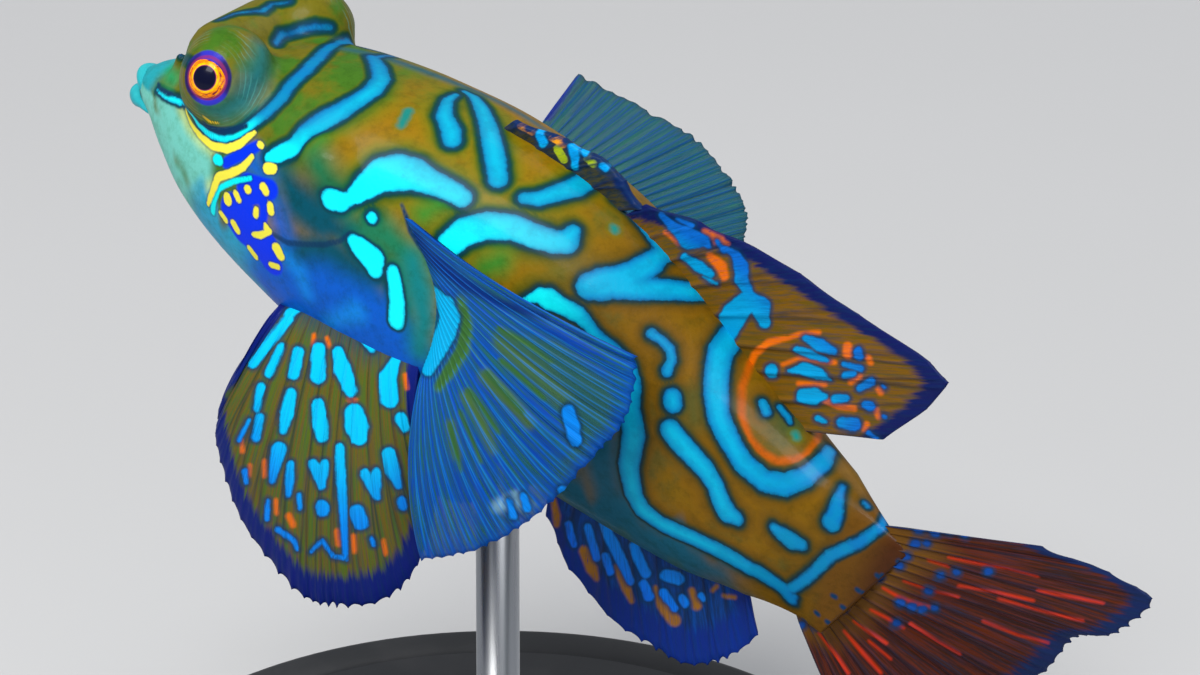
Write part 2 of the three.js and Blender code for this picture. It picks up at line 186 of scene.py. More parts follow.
def skin_point(s, turn):
    """The plain body's surface: a superellipse around the middle line; turn is 0 on the back, 90 on the
    left flank."""
    back, belly, width = back_at(s), belly_at(s), width_at(s)
    c, q = np.cos(np.radians(turn)), np.sin(np.radians(turn))
    r = (abs(c) ** SECTION_POWER + abs(q) ** SECTION_POWER) ** (-1 / SECTION_POWER)
    return body_point(slanted(s, c), -width * q * r, (back + belly) / 2 + (back - belly) / 2 * c * r)


def skin_normal(s, turn):
    """The outward direction on the plain body, from the cross product of steps around it and along it."""
    along = skin_point(s + 0.2, turn) - skin_point(s - 0.2, turn)
    around = skin_point(s, turn + 2.0) - skin_point(s, turn - 2.0)
    n = np.cross(around, along)
    return n / np.linalg.norm(n, axis=-1, keepdims=True)


def pitched(points):
    """Points of the fish's frame turned nose up about the cross axis."""
    p = np.asarray(points, float)
    c, q = math.cos(PITCH), math.sin(PITCH)
    return np.stack([p[..., 0] * c + p[..., 2] * q, p[..., 1], p[..., 2] * c - p[..., 0] * q], -1)


SET_DOWN = np.array([0, 0, BELLY_HEIGHT]) - pitched(skin_point(ROD_AT, 180.0))


def to_row(points):
    """Millimetres in the fish's frame to metres in the row's frame."""
    return (pitched(points) + SET_DOWN) * MM


VIEW_BACK = np.array(
    [
        math.sin(CAMERA_AZIMUTH) * math.cos(CAMERA_ELEVATION),
        -math.cos(CAMERA_AZIMUTH) * math.cos(CAMERA_ELEVATION),
        math.sin(CAMERA_ELEVATION),
    ]
)
VIEW_RIGHT = np.array([math.cos(CAMERA_AZIMUTH), math.sin(CAMERA_AZIMUTH), 0.0])
VIEW_UP = np.cross(VIEW_BACK, VIEW_RIGHT)
FOCAL_PIXELS = CAMERA_DISTANCE / MM_PER_PIXEL


def raw_pixels(row_points):
    """A pinhole view in pixels right and down of the focus point."""
    w = np.asarray(row_points) / MM - (pitched(FOCUS_POINT) + SET_DOWN)
    depth = CAMERA_DISTANCE - w @ VIEW_BACK
    return np.stack([w @ VIEW_RIGHT, -(w @ VIEW_UP)], -1) * FOCAL_PIXELS / depth[..., None]


FOCUS_PIXEL = np.array(SNOUT_PIXEL) - raw_pixels(to_row(SNOUT_POINT))


def photo_pixels(row_points):
    """Where points in the row's frame lie in the photograph."""
    return raw_pixels(row_points) + FOCUS_PIXEL


def knot_gap(step):
    """The square root of each step's length, which spaces a centripetal curve's knots."""
    return np.maximum(np.sqrt(np.linalg.norm(step, axis=1)), 1e-4)[:, None]


def smooth_curve(points, u):
    """A centripetal Catmull-Rom curve through the points; each span takes an equal share of u."""
    p = np.asarray(points, float)
    p = np.vstack([2 * p[0] - p[1], p, 2 * p[-1] - p[-2]])
    at = np.clip(u, 0, 1) * (len(p) - 3)
    i = np.minimum(at.astype(int), len(p) - 4)
    t = (at - i)[:, None]
    a, b, c, d = p[i], p[i + 1], p[i + 2], p[i + 3]
    ab, bc, cd = knot_gap(b - a), knot_gap(c - b), knot_gap(d - c)
    leave = ((b - a) / ab - (c - a) / (ab + bc) + (c - b) / bc) * bc
    meet = ((c - b) / bc - (d - b) / (bc + cd) + (d - c) / cd) * bc
    return b + t * leave + t**2 * (3 * c - 3 * b - 2 * leave - meet) + t**3 * (2 * b - 2 * c + leave + meet)


# Meshes from grids


def add_mesh(name, points, quads, uvs=None, tris=None, values=None, colours=None):
    """A smooth mesh object from whole arrays: points in metres, quads, optional triangles, a UV for each
    quad corner, and named numbers and colours for each point."""
    quads = np.asarray(quads, np.int32)
    tris = np.zeros((0, 3), np.int32) if tris is None else np.asarray(tris, np.int32)
    mesh = bpy.data.meshes.new(name)
    mesh.vertices.add(len(points))
    mesh.vertices.foreach_set("co", np.asarray(points, np.float32).ravel())
    mesh.loops.add(quads.size + tris.size)
    mesh.loops.foreach_set("vertex_index", np.concatenate([quads.ravel(), tris.ravel()]))
    mesh.polygons.add(len(quads) + len(tris))
    starts = np.concatenate([np.arange(len(quads)) * 4, quads.size + np.arange(len(tris)) * 3])
    mesh.polygons.foreach_set("loop_start", starts.astype(np.int32))
    mesh.update(calc_edges=True)
    mesh.polygons.foreach_set("use_smooth", np.ones(len(mesh.polygons), bool))
    if uvs is not None:
        layer = mesh.uv_layers.new(name="OFBake")
        full = np.zeros((quads.size + tris.size, 2), np.float32)
        full[: quads.size] = np.asarray(uvs, np.float32).reshape(-1, 2)
        layer.data.foreach_set("uv", full.ravel())
    for key, value in (values or {}).items():
        a = mesh.attributes.new(key, "FLOAT", "POINT")
        a.data.foreach_set("value", np.asarray(value, np.float32).ravel())
    for key, value in (colours or {}).items():
        a = mesh.attributes.new(key, "FLOAT_COLOR", "POINT")
        rgba = np.concatenate([value, np.ones((len(value), 1))], 1)
        a.data.foreach_set("color", rgba.astype(np.float32).ravel())
    mesh.validate()
    obj = bpy.data.objects.new(name, mesh)
    bpy.context.scene.collection.objects.link(obj)
    return obj


def wear(obj, material, slot, *nodes):
    """Gives a piece its material and its body, and hides the frame nodes that it stands for; slot is not
    used.
    """
    obj.data.materials.clear()
    obj.data.materials.append(material)
    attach(obj, "root")
    if nodes:
        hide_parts(*nodes)
    return obj


def ring_grid(rows, around):
    """Quads and their UVs for closed rings one after another, and triangles that close both ends on added
    points."""
    i, j = np.meshgrid(np.arange(rows - 1), np.arange(around), indexing="ij")
    k = (j + 1) % around
    here, there = i * around, (i + 1) * around
    quads = np.stack([here + j, here + k, there + k, there + j], -1).reshape(-1, 4)
    u = np.stack([j, j + 1, j + 1, j], -1) / around
    v = np.stack([i, i, i + 1, i + 1], -1) / (rows - 1)
    uvs = np.stack([u, v], -1).reshape(-1, 4, 2) * 0.98 + 0.01
    j = np.arange(around)
    k = (j + 1) % around
    first, last, end = rows * around, rows * around + 1, (rows - 1) * around
    tris = [np.stack([first + 0 * j, k, j], -1), np.stack([last + 0 * j, end + j, end + k], -1)]
    return quads, uvs, np.concatenate(tris)


def with_ends(table, around):
    """A ring grid's numbers or colours as rows, followed by the means of its first and of its last ring."""
    table = table.reshape(-1, table.shape[-1]) if table.ndim > 2 else table.reshape(-1, 1)
    return np.concatenate([table, table[:around].mean(0)[None], table[-around:].mean(0)[None]])


def rings_piece(name, rings, values=None, colours=None, outward=True):
    """A closed piece from rings of points in metres, shaped (rows, around, 3)."""
    rows, around = rings.shape[:2]
    quads, uvs, tris = ring_grid(rows, around)
    if not outward:
        quads, uvs, tris = quads[:, ::-1], uvs[:, ::-1], tris[:, ::-1]
    values = {k: with_ends(v, around) for k, v in (values or {}).items()}
    colours = {k: with_ends(v, around) for k, v in (colours or {}).items()}
    return add_mesh(name, with_ends(rings, around), quads, uvs, tris, values, colours)


def lathe_piece(name, profile, steps=128):
    """A closed round piece: the profile's (radius, height) pairs in metres turned about the upright axis."""
    r, z = np.array(profile, float).T
    a = np.arange(steps) / steps * 2 * math.pi
    rings = np.stack([r[:, None] * np.cos(a), r[:, None] * np.sin(a), z[:, None] + 0 * a], -1)
    return rings_piece(name, rings, outward=False)


def tube_rings(path, radii, sides, rows):
    """Rings around a smooth path: each ring's plane is square to the path, and its radius follows the
    table, times sqrt(1 - (2u - 1)^8), which rounds off both ends."""
    u = np.linspace(0, 1, rows)
    centre = smooth_curve(path, u)
    along = np.gradient(centre, axis=0)
    along /= np.linalg.norm(along, axis=1, keepdims=True)
    aside = np.cross(along, [0.0, 0.0, 1.0])
    aside /= np.linalg.norm(aside, axis=1, keepdims=True)
    up = np.cross(aside, along)
    end_round = np.sqrt(np.clip(1 - (2 * u - 1) ** 8, 0.02, 1))
    r = smooth_table(np.linspace(0, 1, len(radii)), radii)(u) * end_round
    a = np.arange(sides) / sides * 2 * math.pi
    ring = aside[:, None] * np.cos(a)[:, None] + up[:, None] * np.sin(a)[:, None]
    return centre[:, None] + ring * r[:, None, None]


# Colour marks: strokes in photograph pixels, each point being (across, down, width)

BANDS = {
    "jaw to nape": [(157, 90, 4), (165, 96, 7), (172, 99, 7), (179, 102, 7), (186, 107, 7), (191, 114, 8),
        (198, 124, 8), (205, 131, 8), (213, 136, 8), (224, 139, 8), (240, 134, 9), (253, 123, 11),
        (268, 111, 13), (282, 97, 14), (293, 84, 15), (307, 71, 16), (320, 57, 15), (331, 46, 14),
        (349, 41, 11), (368, 45, 10), (392, 53, 9)],
    "cheek to nape": [(270, 157, 12), (278, 155, 17), (295, 147, 21), (307, 131, 21), (326, 119, 24),
        (341, 111, 23), (358, 100, 21), (372, 91, 21), (381, 79, 19), (378, 67, 18), (372, 57, 14)],
    "nape cross": [(374, 58, 10), (397, 57, 7)],
    "far brow": [(219, 20, 4), (234, 14, 5), (263, 11, 6), (272, 4, 5), (290, 2, 4)],
    "brow": [(276, 43, 8), (281, 34, 9), (301, 29, 9), (316, 26, 9), (330, 28, 6)],
    "nostril": [(180, 53, 3), (191, 63, 3.5)],
    "shoulder wave": [(350, 200, 14), (357, 194, 20), (368, 184, 28), (382, 175, 36), (397, 171, 39),
        (413, 174, 34), (428, 181, 27), (443, 187, 23), (456, 193, 22), (463, 197, 20)],
    "shoulder blot": [(332, 200, 24), (340, 201, 22), (352, 198, 12)],
    "fleck": [(371, 217, 12), (373, 218, 12)],
    "above pectoral": [(353, 240, 14), (361, 248, 22), (373, 259, 27), (375, 270, 18)],
    "behind pectoral": [(392, 272, 15), (396, 285, 17), (397, 303, 19), (396, 322, 19)],
    "back drop": [(456, 95, 7), (447, 101, 11), (445, 116, 18), (451, 130, 21), (453, 141, 19)],
    "back bar": [(464, 91, 7), (474, 97, 12), (482, 107, 17), (486, 122, 19), (491, 143, 22),
        (495, 163, 22), (498, 179, 20)],
    "back tongue": [(524, 199, 13), (538, 198, 18), (553, 195, 20), (573, 189, 25), (587, 181, 24),
        (591, 174, 16)],
    "boomerang": [(441, 258, 20), (450, 245, 26), (463, 232, 29), (487, 226, 28), (512, 227, 27),
        (534, 235, 25), (555, 241, 24), (567, 241, 26), (573, 232, 16)],
    "fork head": [(590, 286, 28), (603, 284, 34), (617, 281, 32), (634, 274, 28), (650, 264, 27),
        (664, 252, 18)],
    "fork tail": [(616, 285, 28), (640, 289, 24), (665, 289, 24), (688, 291, 24), (699, 292, 22)],
    "fin edge": [(667, 254, 18), (659, 244, 19), (646, 228, 17), (632, 213, 14), (617, 201, 11)],
    "over pectoral": [(524, 300, 5), (540, 295, 16), (549, 299, 22), (561, 306, 17), (578, 314, 17),
        (588, 324, 13), (598, 338, 13)],
    "belly line": [(598, 338, 14), (612, 352, 22), (624, 368, 27), (628, 385, 26), (629, 405, 24),
        (634, 435, 25), (629, 467, 23), (633, 494, 22), (642, 510, 22), (662, 525, 20), (693, 538, 19),
        (724, 553, 19), (757, 571, 19), (783, 588, 17), (792, 600, 14)],
    "tail chevron": [(792, 589, 13), (810, 576, 13), (831, 556, 14), (859, 543, 13), (882, 527, 12),
        (897, 510, 11)],
    "tail loop": [(755, 300, 17), (761, 312, 25), (750, 325, 26), (732, 335, 26), (720, 352, 26),
        (717, 374, 25), (716, 396, 25), (719, 418, 23), (729, 441, 22), (744, 464, 22), (764, 481, 22),
        (785, 485, 23), (805, 477, 22), (821, 465, 20), (831, 450, 14)],
    "tail hook": [(651, 333, 11), (662, 341, 10), (671, 349, 10), (672, 361, 10), (668, 371, 12)],
    "tail spot": [(673, 397, 19), (673, 403, 20)],
    "tail club": [(670, 430, 22), (677, 439, 24), (688, 452, 23), (706, 470, 21), (716, 486, 20),
        (721, 501, 22), (727, 512, 23), (736, 518, 17)],
    "tail wedge": [(774, 528, 11), (783, 535, 17), (792, 542, 20), (801, 544, 15)],
    "tail drop": [(842, 487, 8), (838, 500, 13), (834, 515, 19), (832, 522, 20)],
    "tail dot": [(865, 504, 7), (868, 506, 7)],
    "eyespot dots": [(763, 402, 9), (766, 413, 11)],
    "eyespot comma": [(780, 408, 8), (787, 416, 9), (790, 423, 5)],
    "tail root dots": [(795, 597, 9), (793, 602, 8)],
}
TAIL_DOTS = tuple(
    [(x - 1, y, 5), (x + 1, y + 1, 5)]
    for x, y in (
        (858, 590), (834, 596), (817, 613), (843, 607), (802, 624), (878, 576), (899, 562), (868, 598),
        (890, 584), (828, 622), (908, 548), (902, 535),
    )
)
TEAL_DOTS = {
    "side dot": [(614, 227, 9), (615, 230, 9)],
    "nape dot": [(408, 112, 10), (402, 124, 9)],
    "eyespot dot": [(796, 434, 7), (797, 437, 7)],
}
YELLOW_LINES = {
    "jaw line": [(186, 110, 5), (192, 124, 6), (200, 136, 7), (212, 146, 8), (227, 149, 9), (239, 144, 9),
        (249, 136, 7), (254, 133, 5)],
    "corner dot": [(260, 143, 7), (261, 146, 7)],
    "throat hook": [(252, 157, 6), (244, 167, 8), (230, 173, 9), (218, 177, 9), (214, 188, 8),
        (208, 204, 5)],
    "gill dot": [(268, 168, 12), (273, 169, 11)],
}
CHIN_SPOTS = (
    [(226, 197, 10), (227, 201, 11)], [(235, 193, 7), (239, 200, 7)], [(248, 189, 10), (248, 190, 10)],
    [(263, 187, 9), (265, 191, 9)], [(256, 210, 7), (256, 216, 7)], [(270, 205, 8), (270, 211, 9)],
    [(221, 213, 6), (225, 220, 7)], [(233, 224, 9), (238, 230, 8)],
    [(254, 234, 6), (260, 236, 8), (268, 232, 6)], [(265, 226, 6), (270, 231, 6)],
    [(250, 248, 7), (256, 257, 7)], [(277, 249, 12), (280, 256, 11)], [(271, 264, 7), (277, 267, 7)],
)
CHIN_BLUE = {
    "inner": [(258, 192, 12), (264, 206, 12), (264, 218, 10)],
    "chin": [(236, 212, 44), (246, 226, 50), (262, 243, 40), (272, 262, 30)],
    "wedge": [(226, 163, 12), (240, 155, 13), (256, 147, 12)],
    "row": [(250, 190, 34), (268, 190, 22)],
}
CHIN_CYAN = {
    "chin rim": [(250, 178, 5), (232, 181, 6), (219, 188, 6), (214, 202, 7), (213, 212, 7)],
    "throat dot": [(216, 160, 11), (219, 160, 11)],
}
EYESPOT_RING = {
    "ring": [(784, 338, 6), (765, 348, 7), (750, 364, 7), (742, 388, 7), (742, 418, 7), (750, 440, 7),
        (763, 454, 7), (778, 461, 7), (794, 460, 7), (806, 455, 7), (817, 440, 6), (819, 426, 5)],
}
GILL_LINE = {
    "gill cover": [(273, 235, 4), (288, 242, 5), (304, 245, 5), (325, 244, 5), (340, 241, 4),
        (349, 232, 3)],
}

DARK_LINES = {
    "under the eye": [(203, 122, 4), (208, 127, 6), (219, 131, 8), (232, 131, 8), (246, 127, 5)],
    # The mouth line is painted shade where the lips meet.
    "mouth line": [(158, 83, 2.5), (161, 90, 3.5), (168, 93.5, 5), (186, 96, 4)],
    "fin slit": [(401, 204, 2), (406, 217, 4), (411, 231, 5), (419, 246, 5), (432, 262, 4)],
}
GOLD_LINE = {"lower lid": [(203, 116, 2), (210, 122, 3), (219, 124, 2)]}

# Ground colours in soft patches of strokes: each has its tint's name, softness in millimetres, and strokes
ZONES = (
    ("nape_teal", 0.6, ([(330, 47, 8), (380, 56, 14), (430, 73, 16), (480, 93, 15), (525, 116, 12),
        (560, 140, 8)],)),
    ("dome_teal", 1.0, ([(262, 50, 14), (256, 78, 26), (243, 100, 26), (222, 112, 18), (204, 108, 10)],)),
    ("snout_green", 0.7, ([(160, 60, 14), (170, 68, 24), (174, 82, 14)],)),
    ("leaf", 0.8, ([(500, 262, 22), (484, 268, 18)], [(440, 205, 14), (425, 215, 18)],
        [(314, 150, 14), (322, 140, 12)], [(636, 180, 10)], [(392, 200, 14)])),
    ("dull_olive", 0.9, ([(788, 425, 34), (800, 420, 22)], [(676, 478, 18)], [(612, 336, 14)],
        [(760, 400, 16)], [(692, 395, 10), (694, 420, 12)])),
    ("shoulder_green", 0.9, ([(350, 226, 26), (385, 236, 36), (408, 258, 36), (418, 290, 30)],)),
    ("cover_green", 1.0, ([(318, 166, 34), (330, 184, 30)],)),
    ("operculum", 1.0, ([(284, 176, 24), (300, 203, 50), (322, 222, 50), (345, 234, 24)],
        [(296, 256, 56), (325, 268, 84), (350, 290, 80), (374, 320, 60), (400, 345, 60), (420, 356, 44)],
        [(272, 186, 14), (284, 206, 20), (290, 232, 18)])),
    ("belly_blue", 1.0, ([(262, 262, 20), (285, 284, 50), (325, 300, 80), (370, 330, 90), (420, 380, 60)],
        [(268, 192, 14), (278, 216, 16), (286, 240, 16)], [(250, 160, 22), (266, 178, 16)],
        [(300, 330, 40), (380, 400, 60), (450, 440, 60)])),
    ("bright_blue", 0.7, ([(283, 254, 12), (300, 272, 14), (306, 292, 12)],
        [(330, 322, 12), (356, 312, 22)])),
    ("base_green", 0.9, ([(413, 262, 20), (420, 292, 32), (424, 322, 34), (420, 352, 24)],)),
    ("belly_teal", 1.0, ([(560, 380, 60), (596, 440, 52), (606, 490, 40), (650, 540, 22),
        (720, 574, 14)],)),
    ("throat", 0.5, ([(158, 100, 10), (166, 112, 30), (178, 135, 44), (196, 160, 50), (200, 185, 40)],
        [(150, 110, 10), (160, 150, 30), (180, 190, 34), (200, 222, 16)])),
    ("throat_gold", 0.5, ([(180, 106, 6), (188, 126, 8), (200, 142, 8), (214, 154, 6)],
        [(232, 178, 4), (208, 186, 6), (202, 202, 6)])),
    ("throat_edge", 0.9, ([(205, 215, 8), (222, 244, 10), (240, 268, 10), (262, 288, 12)],)),
)
PECTORAL_ZONES = (
    ((0.003, 0.19, 0.19), 0.8, ([(413, 262, 18), (420, 292, 30), (424, 322, 32), (420, 352, 24)],)),
    ((0.05, 0.17, 0.02), 0.5, ([(462, 300, 8), (469, 325, 11), (466, 350, 11), (452, 372, 10),
        (440, 388, 8)],)),
    ((0.02, 0.1, 0.09), 1.0, ([(500, 335, 12), (550, 362, 44), (585, 400, 56), (594, 450, 44),
        (575, 480, 34)],)),
    ((0.06, 0.14, 0.03), 0.8, ([(504, 345, 10), (540, 372, 14), (562, 396, 10)],
        [(486, 376, 12), (508, 398, 14), (530, 424, 10)], [(468, 396, 12), (482, 420, 12), (494, 450, 8)],
        [(452, 424, 8), (458, 455, 8)])),
    ((0.22, 0.45, 0.62), 0.9, ([(500, 505, 12), (516, 500, 16), (530, 508, 10)],)),
    ((0.0, 0.02, 0.16), 0.8, ([(415, 235, 12), (430, 256, 14), (462, 282, 14), (500, 302, 10),
        (545, 318, 6)],)),
)


# In millimetres: a point FAR from every stroke has no mark, HIDDEN added to a distance hides its mark, and a
# stroke is measured out to STROKE_REACH past its edge
FAR = 9.0
HIDDEN = 3.0
STROKE_REACH = 2.5


def lift_strokes(strokes, surface):
    """Strokes in pixels to polylines on a surface: each point goes to the mean of the seen surface points
    nearest to it. surface is (seen points' tree, their places in mm, mirrored places in mm)."""
    tree, near, far = surface
    lifted, mirrored = [], []
    for points in strokes:
        hits = [[h[1] for h in tree.find_n((x, y, 0), 3)] for x, y, _ in points]
        radius = np.array([w for _, _, w in points]) / 2 * MM_PER_PIXEL
        lifted.append((near[hits].mean(1), radius))
        mirrored.append((far[hits].mean(1), radius))
    return lifted, mirrored


def marks_distance(points, strokes, surface, seen_fade, mirror_fade):
    """Signed distance to the strokes that the camera sees and to their mirror images, each thinned by its
    fade."""
    lifted, mirrored = lift_strokes(strokes, surface)
    nearest = stroke_distance(points, lifted) + seen_fade
    some = mirror_fade < HIDDEN
    nearest[some] = np.minimum(nearest[some], stroke_distance(points[some], mirrored) + mirror_fade[some])
    return nearest


def stroke_distance(points, lifted):
    """Signed distance to the nearest stroke: to each segment's nearest place, less half the width there."""
    nearest = np.full(len(points), FAR, np.float32)
    points = points.astype(np.float32)
    for line, radius in lifted:
        for a, b, ra, rb in zip(line[:-1], line[1:], radius[:-1], radius[1:]):
            ab = (b - a).astype(np.float32)
            reach = np.abs(ab).max() / 2 + max(ra, rb) + STROKE_REACH
            box = np.abs(points - ((a + b) / 2).astype(np.float32)).max(1) < reach
            if not box.any():
                continue
            ap = points[box] - a.astype(np.float32)
            t = np.clip(ap @ ab / max(float(ab @ ab), 1e-9), 0, 1)
            d = np.linalg.norm(ap - t[:, None] * ab, axis=1) - (ra + (rb - ra) * t)
            nearest[box] = np.minimum(nearest[box], d)
    return nearest


def strokes_of(*tables):
    """All the strokes of tables that name their strokes or only list them."""
    return [stroke for table in tables for stroke in (table.values() if isinstance(table, dict) else table)]


def picture_distance(row_points, strokes):
    """Signed distance to strokes as the camera sees them, in millimetres at the focus point."""
    px = photo_pixels(row_points) * MM_PER_PIXEL
    flat_points = np.concatenate([px, np.zeros((len(px), 1))], 1)
    lines = []
    for points in strokes:
        p = np.array(points, float)
        lines.append((np.c_[p[:, :2] * MM_PER_PIXEL, np.zeros(len(p))], p[:, 2] / 2 * MM_PER_PIXEL))
    return stroke_distance(flat_points, lines)


# Materials


class Nodes:
    """Short hands for wiring a node tree. A value may be a socket, a number or a colour."""

    def __init__(self, tree):
        self.tree = tree

    def add(self, kind, **settings):
        """A node of a kind, with its settings."""
        node = self.tree.nodes.new(kind)
        for key, value in settings.items():
            setattr(node, key, value)
        return node

    def link(self, source, target):
        """Wires a socket to an input, or sets the input to a number or a colour."""
        if hasattr(source, "is_output"):
            self.tree.links.new(source, target)
        elif hasattr(target.default_value, "__len__") and not hasattr(source, "__len__"):
            target.default_value = (source,) * len(target.default_value)
        elif hasattr(source, "__len__") and len(target.default_value) == 4 and len(source) == 3:
            target.default_value = (*source, 1)
        else:
            target.default_value = source

    def value(self, name):
        """A number that the mesh carries on its points."""
        return self.add("ShaderNodeAttribute", attribute_name=name).outputs["Fac"]

    def colour(self, name):
        """A colour that the mesh carries on its points."""
        return self.add("ShaderNodeAttribute", attribute_name=name).outputs["Color"]

    def math(self, operation, a, b=0.0, clamp=False):
        """One arithmetic node."""
        node = self.add("ShaderNodeMath", operation=operation, use_clamp=clamp)
        self.link(a, node.inputs[0])
        self.link(b, node.inputs[1])
        return node.outputs[0]

    def times(self, a, b):
        """a * b."""
        return self.math("MULTIPLY", a, b)

    def plus(self, a, b):
        """a + b."""
        return self.math("ADD", a, b)

    def waver(self, value, noise, amount):
        """A number made ragged by a noise: value + (noise - 0.5) * amount."""
        return self.plus(value, self.times(self.math("SUBTRACT", noise, 0.5), amount))

    def below(self, value, softness):
        """1 below 0 and 0 above it, with a straight slope as wide as softness between: 0.5 - value /
        softness."""
        return self.math("SUBTRACT", 0.5, self.math("DIVIDE", value, softness), True)

    def step(self, value, low, high):
        """Smoothly 0 at low and 1 at high, which may lie either way round."""
        node = self.add("ShaderNodeMapRange", interpolation_type="SMOOTHSTEP", clamp=True)
        flip = low > high
        self.link(value, node.inputs["Value"])
        node.inputs["From Min"].default_value = high if flip else low
        node.inputs["From Max"].default_value = low if flip else high
        node.inputs["To Min"].default_value = 1.0 if flip else 0.0
        node.inputs["To Max"].default_value = 0.0 if flip else 1.0
        return node.outputs[0]

    def mix(self, share, a, b, blend="MIX"):
        """Colour a with a share of colour b over it."""
        node = self.add("ShaderNodeMix", data_type="RGBA", blend_type=blend)
        self.link(share, node.inputs[0])
        self.link(a, node.inputs[6])
        self.link(b, node.inputs[7])
        return node.outputs[2]

    def pair(self, a, b):
        """Two numbers as the first two parts of a vector."""
        node = self.add("ShaderNodeCombineXYZ")
        self.link(a, node.inputs[0])
        self.link(b, node.inputs[1])
        return node.outputs[0]

    def noise(self, scale, detail=3.0, rough=0.5, stretch=(1, 1, 1), vector=None):
        """A noise mask over Object coordinates, or over a given vector, stretched along its axes."""
        if vector is None:
            vector = self.add("ShaderNodeTexCoord").outputs["Object"]
        mapping = self.add("ShaderNodeMapping")
        self.link(vector, mapping.inputs["Vector"])
        mapping.inputs["Scale"].default_value = stretch
        node = self.add("ShaderNodeTexNoise")
        self.link(mapping.outputs[0], node.inputs["Vector"])
        self.link(scale, node.inputs["Scale"])
        node.inputs["Detail"].default_value = detail
        node.inputs["Roughness"].default_value = rough
        return node.outputs["Fac"]

    def bump(self, height, strength, distance):
        """A normal from a height mask; distance is in metres."""
        node = self.add("ShaderNodeBump")
        self.link(strength, node.inputs["Strength"])
        node.inputs["Distance"].default_value = distance
        self.link(height, node.inputs["Height"])
        return node.outputs[0]

    def ramp(self, value, low, high, stops):
        """Colours along a number: stops are (number, colour) pairs between low and high."""
        share = self.add("ShaderNodeMapRange", clamp=True)
        self.link(value, share.inputs["Value"])
        share.inputs["From Min"].default_value = low
        share.inputs["From Max"].default_value = high
        node = self.add("ShaderNodeValToRGB")
        self.link(share.outputs[0], node.inputs[0])
        elements = node.color_ramp.elements
        while len(elements) < len(stops):
            elements.new(1.0)
        for element, (at, colour) in zip(elements, stops):
            element.position = (at - low) / (high - low)
            element.color = (*colour, 1)
        return node.outputs[0]

    def use_group(self, group, **given):
        """Places a node group and sets its inputs; a space in a label is written as an underscore."""
        node = self.add("ShaderNodeGroup")
        node.node_tree = group
        for label, value in given.items():
            self.link(value, node.inputs[label.replace("_", " ")])
        return node.outputs


def new_group(name, inputs, outputs):
    """An empty shader node group with named sockets, and its input and output sockets."""
    group = bpy.data.node_groups.new(name, "ShaderNodeTree")
    for side, sockets in (("INPUT", inputs), ("OUTPUT", outputs)):
        for label, kind, *rest in sockets:
            socket = group.interface.new_socket(label, in_out=side, socket_type="NodeSocket" + kind)
            if rest:
                socket.default_value = rest[0]
    return group, group.nodes.new("NodeGroupInput").outputs, group.nodes.new("NodeGroupOutput").inputs


EDGE_WAVER_SCALE = 2600.0
OUTLINE_SOFTER = 2.5


def edged_mark_group():
    """Colour of a mark with a dark outline on a ground. Distance is signed, in millimetres, and below 0
    inside."""
    name = "Edged mark"
    if name in bpy.data.node_groups:
        return bpy.data.node_groups[name]
    group, given, result = new_group(
        name,
        [("Distance", "Float", 1.0), ("Mark", "Color"), ("Ground", "Color"), ("Outline", "Color"),
         ("Outline Width", "Float", 0.25), ("Softness", "Float", 0.08), ("Waver", "Float", 0.06)],
        [("Color", "Color"), ("Inside", "Float")],
    )
    n = Nodes(group)
    distance = n.waver(given["Distance"], n.noise(EDGE_WAVER_SCALE, 2.0), n.times(given["Waver"], 2.0))
    soft = n.times(given["Softness"], 2.0)
    inside = n.below(distance, soft)
    rim = n.below(n.math("SUBTRACT", distance, given["Outline Width"]), n.times(soft, OUTLINE_SOFTER))
    ground = n.mix(rim, given["Ground"], given["Outline"])
    n.link(n.mix(inside, ground, given["Mark"]), result["Color"])
    n.link(inside, result["Inside"])
    return group


PIMPLE_DEPTH = 0.00008
MOTTLE_SCALE = 420.0


def fine_relief_group():
    """Fine relief of wet skin: soft pimples and a faint mottle. Puts out a normal and a mottle mask."""
    name = "Fine relief"
    if name in bpy.data.node_groups:
        return bpy.data.node_groups[name]
    group, given, result = new_group(
        name,
        [("Strength", "Float", 0.2), ("Size", "Float", 3500.0)],
        [("Normal", "Vector"), ("Mottle", "Float")],
    )
    n = Nodes(group)
    n.link(n.bump(n.noise(given["Size"]), given["Strength"], PIMPLE_DEPTH), result["Normal"])
    n.link(n.noise(MOTTLE_SCALE, 4.0, 0.6), result["Mottle"])
    return group


def new_material(name, roughness, metallic=0.0, coat=0.0, coat_roughness=0.08, specular=0.5):
    """A material with one Principled BSDF, and its node helper."""
    material = bpy.data.materials.new(name)
    material.use_nodes = True
    n = Nodes(material.node_tree)
    shader = material.node_tree.nodes["Principled BSDF"]
    shader.inputs["Roughness"].default_value = roughness
    shader.inputs["Metallic"].default_value = metallic
    shader.inputs["Coat Weight"].default_value = coat
    shader.inputs["Coat Roughness"].default_value = coat_roughness
    shader.inputs["Specular IOR Level"].default_value = specular
    return material, n, shader


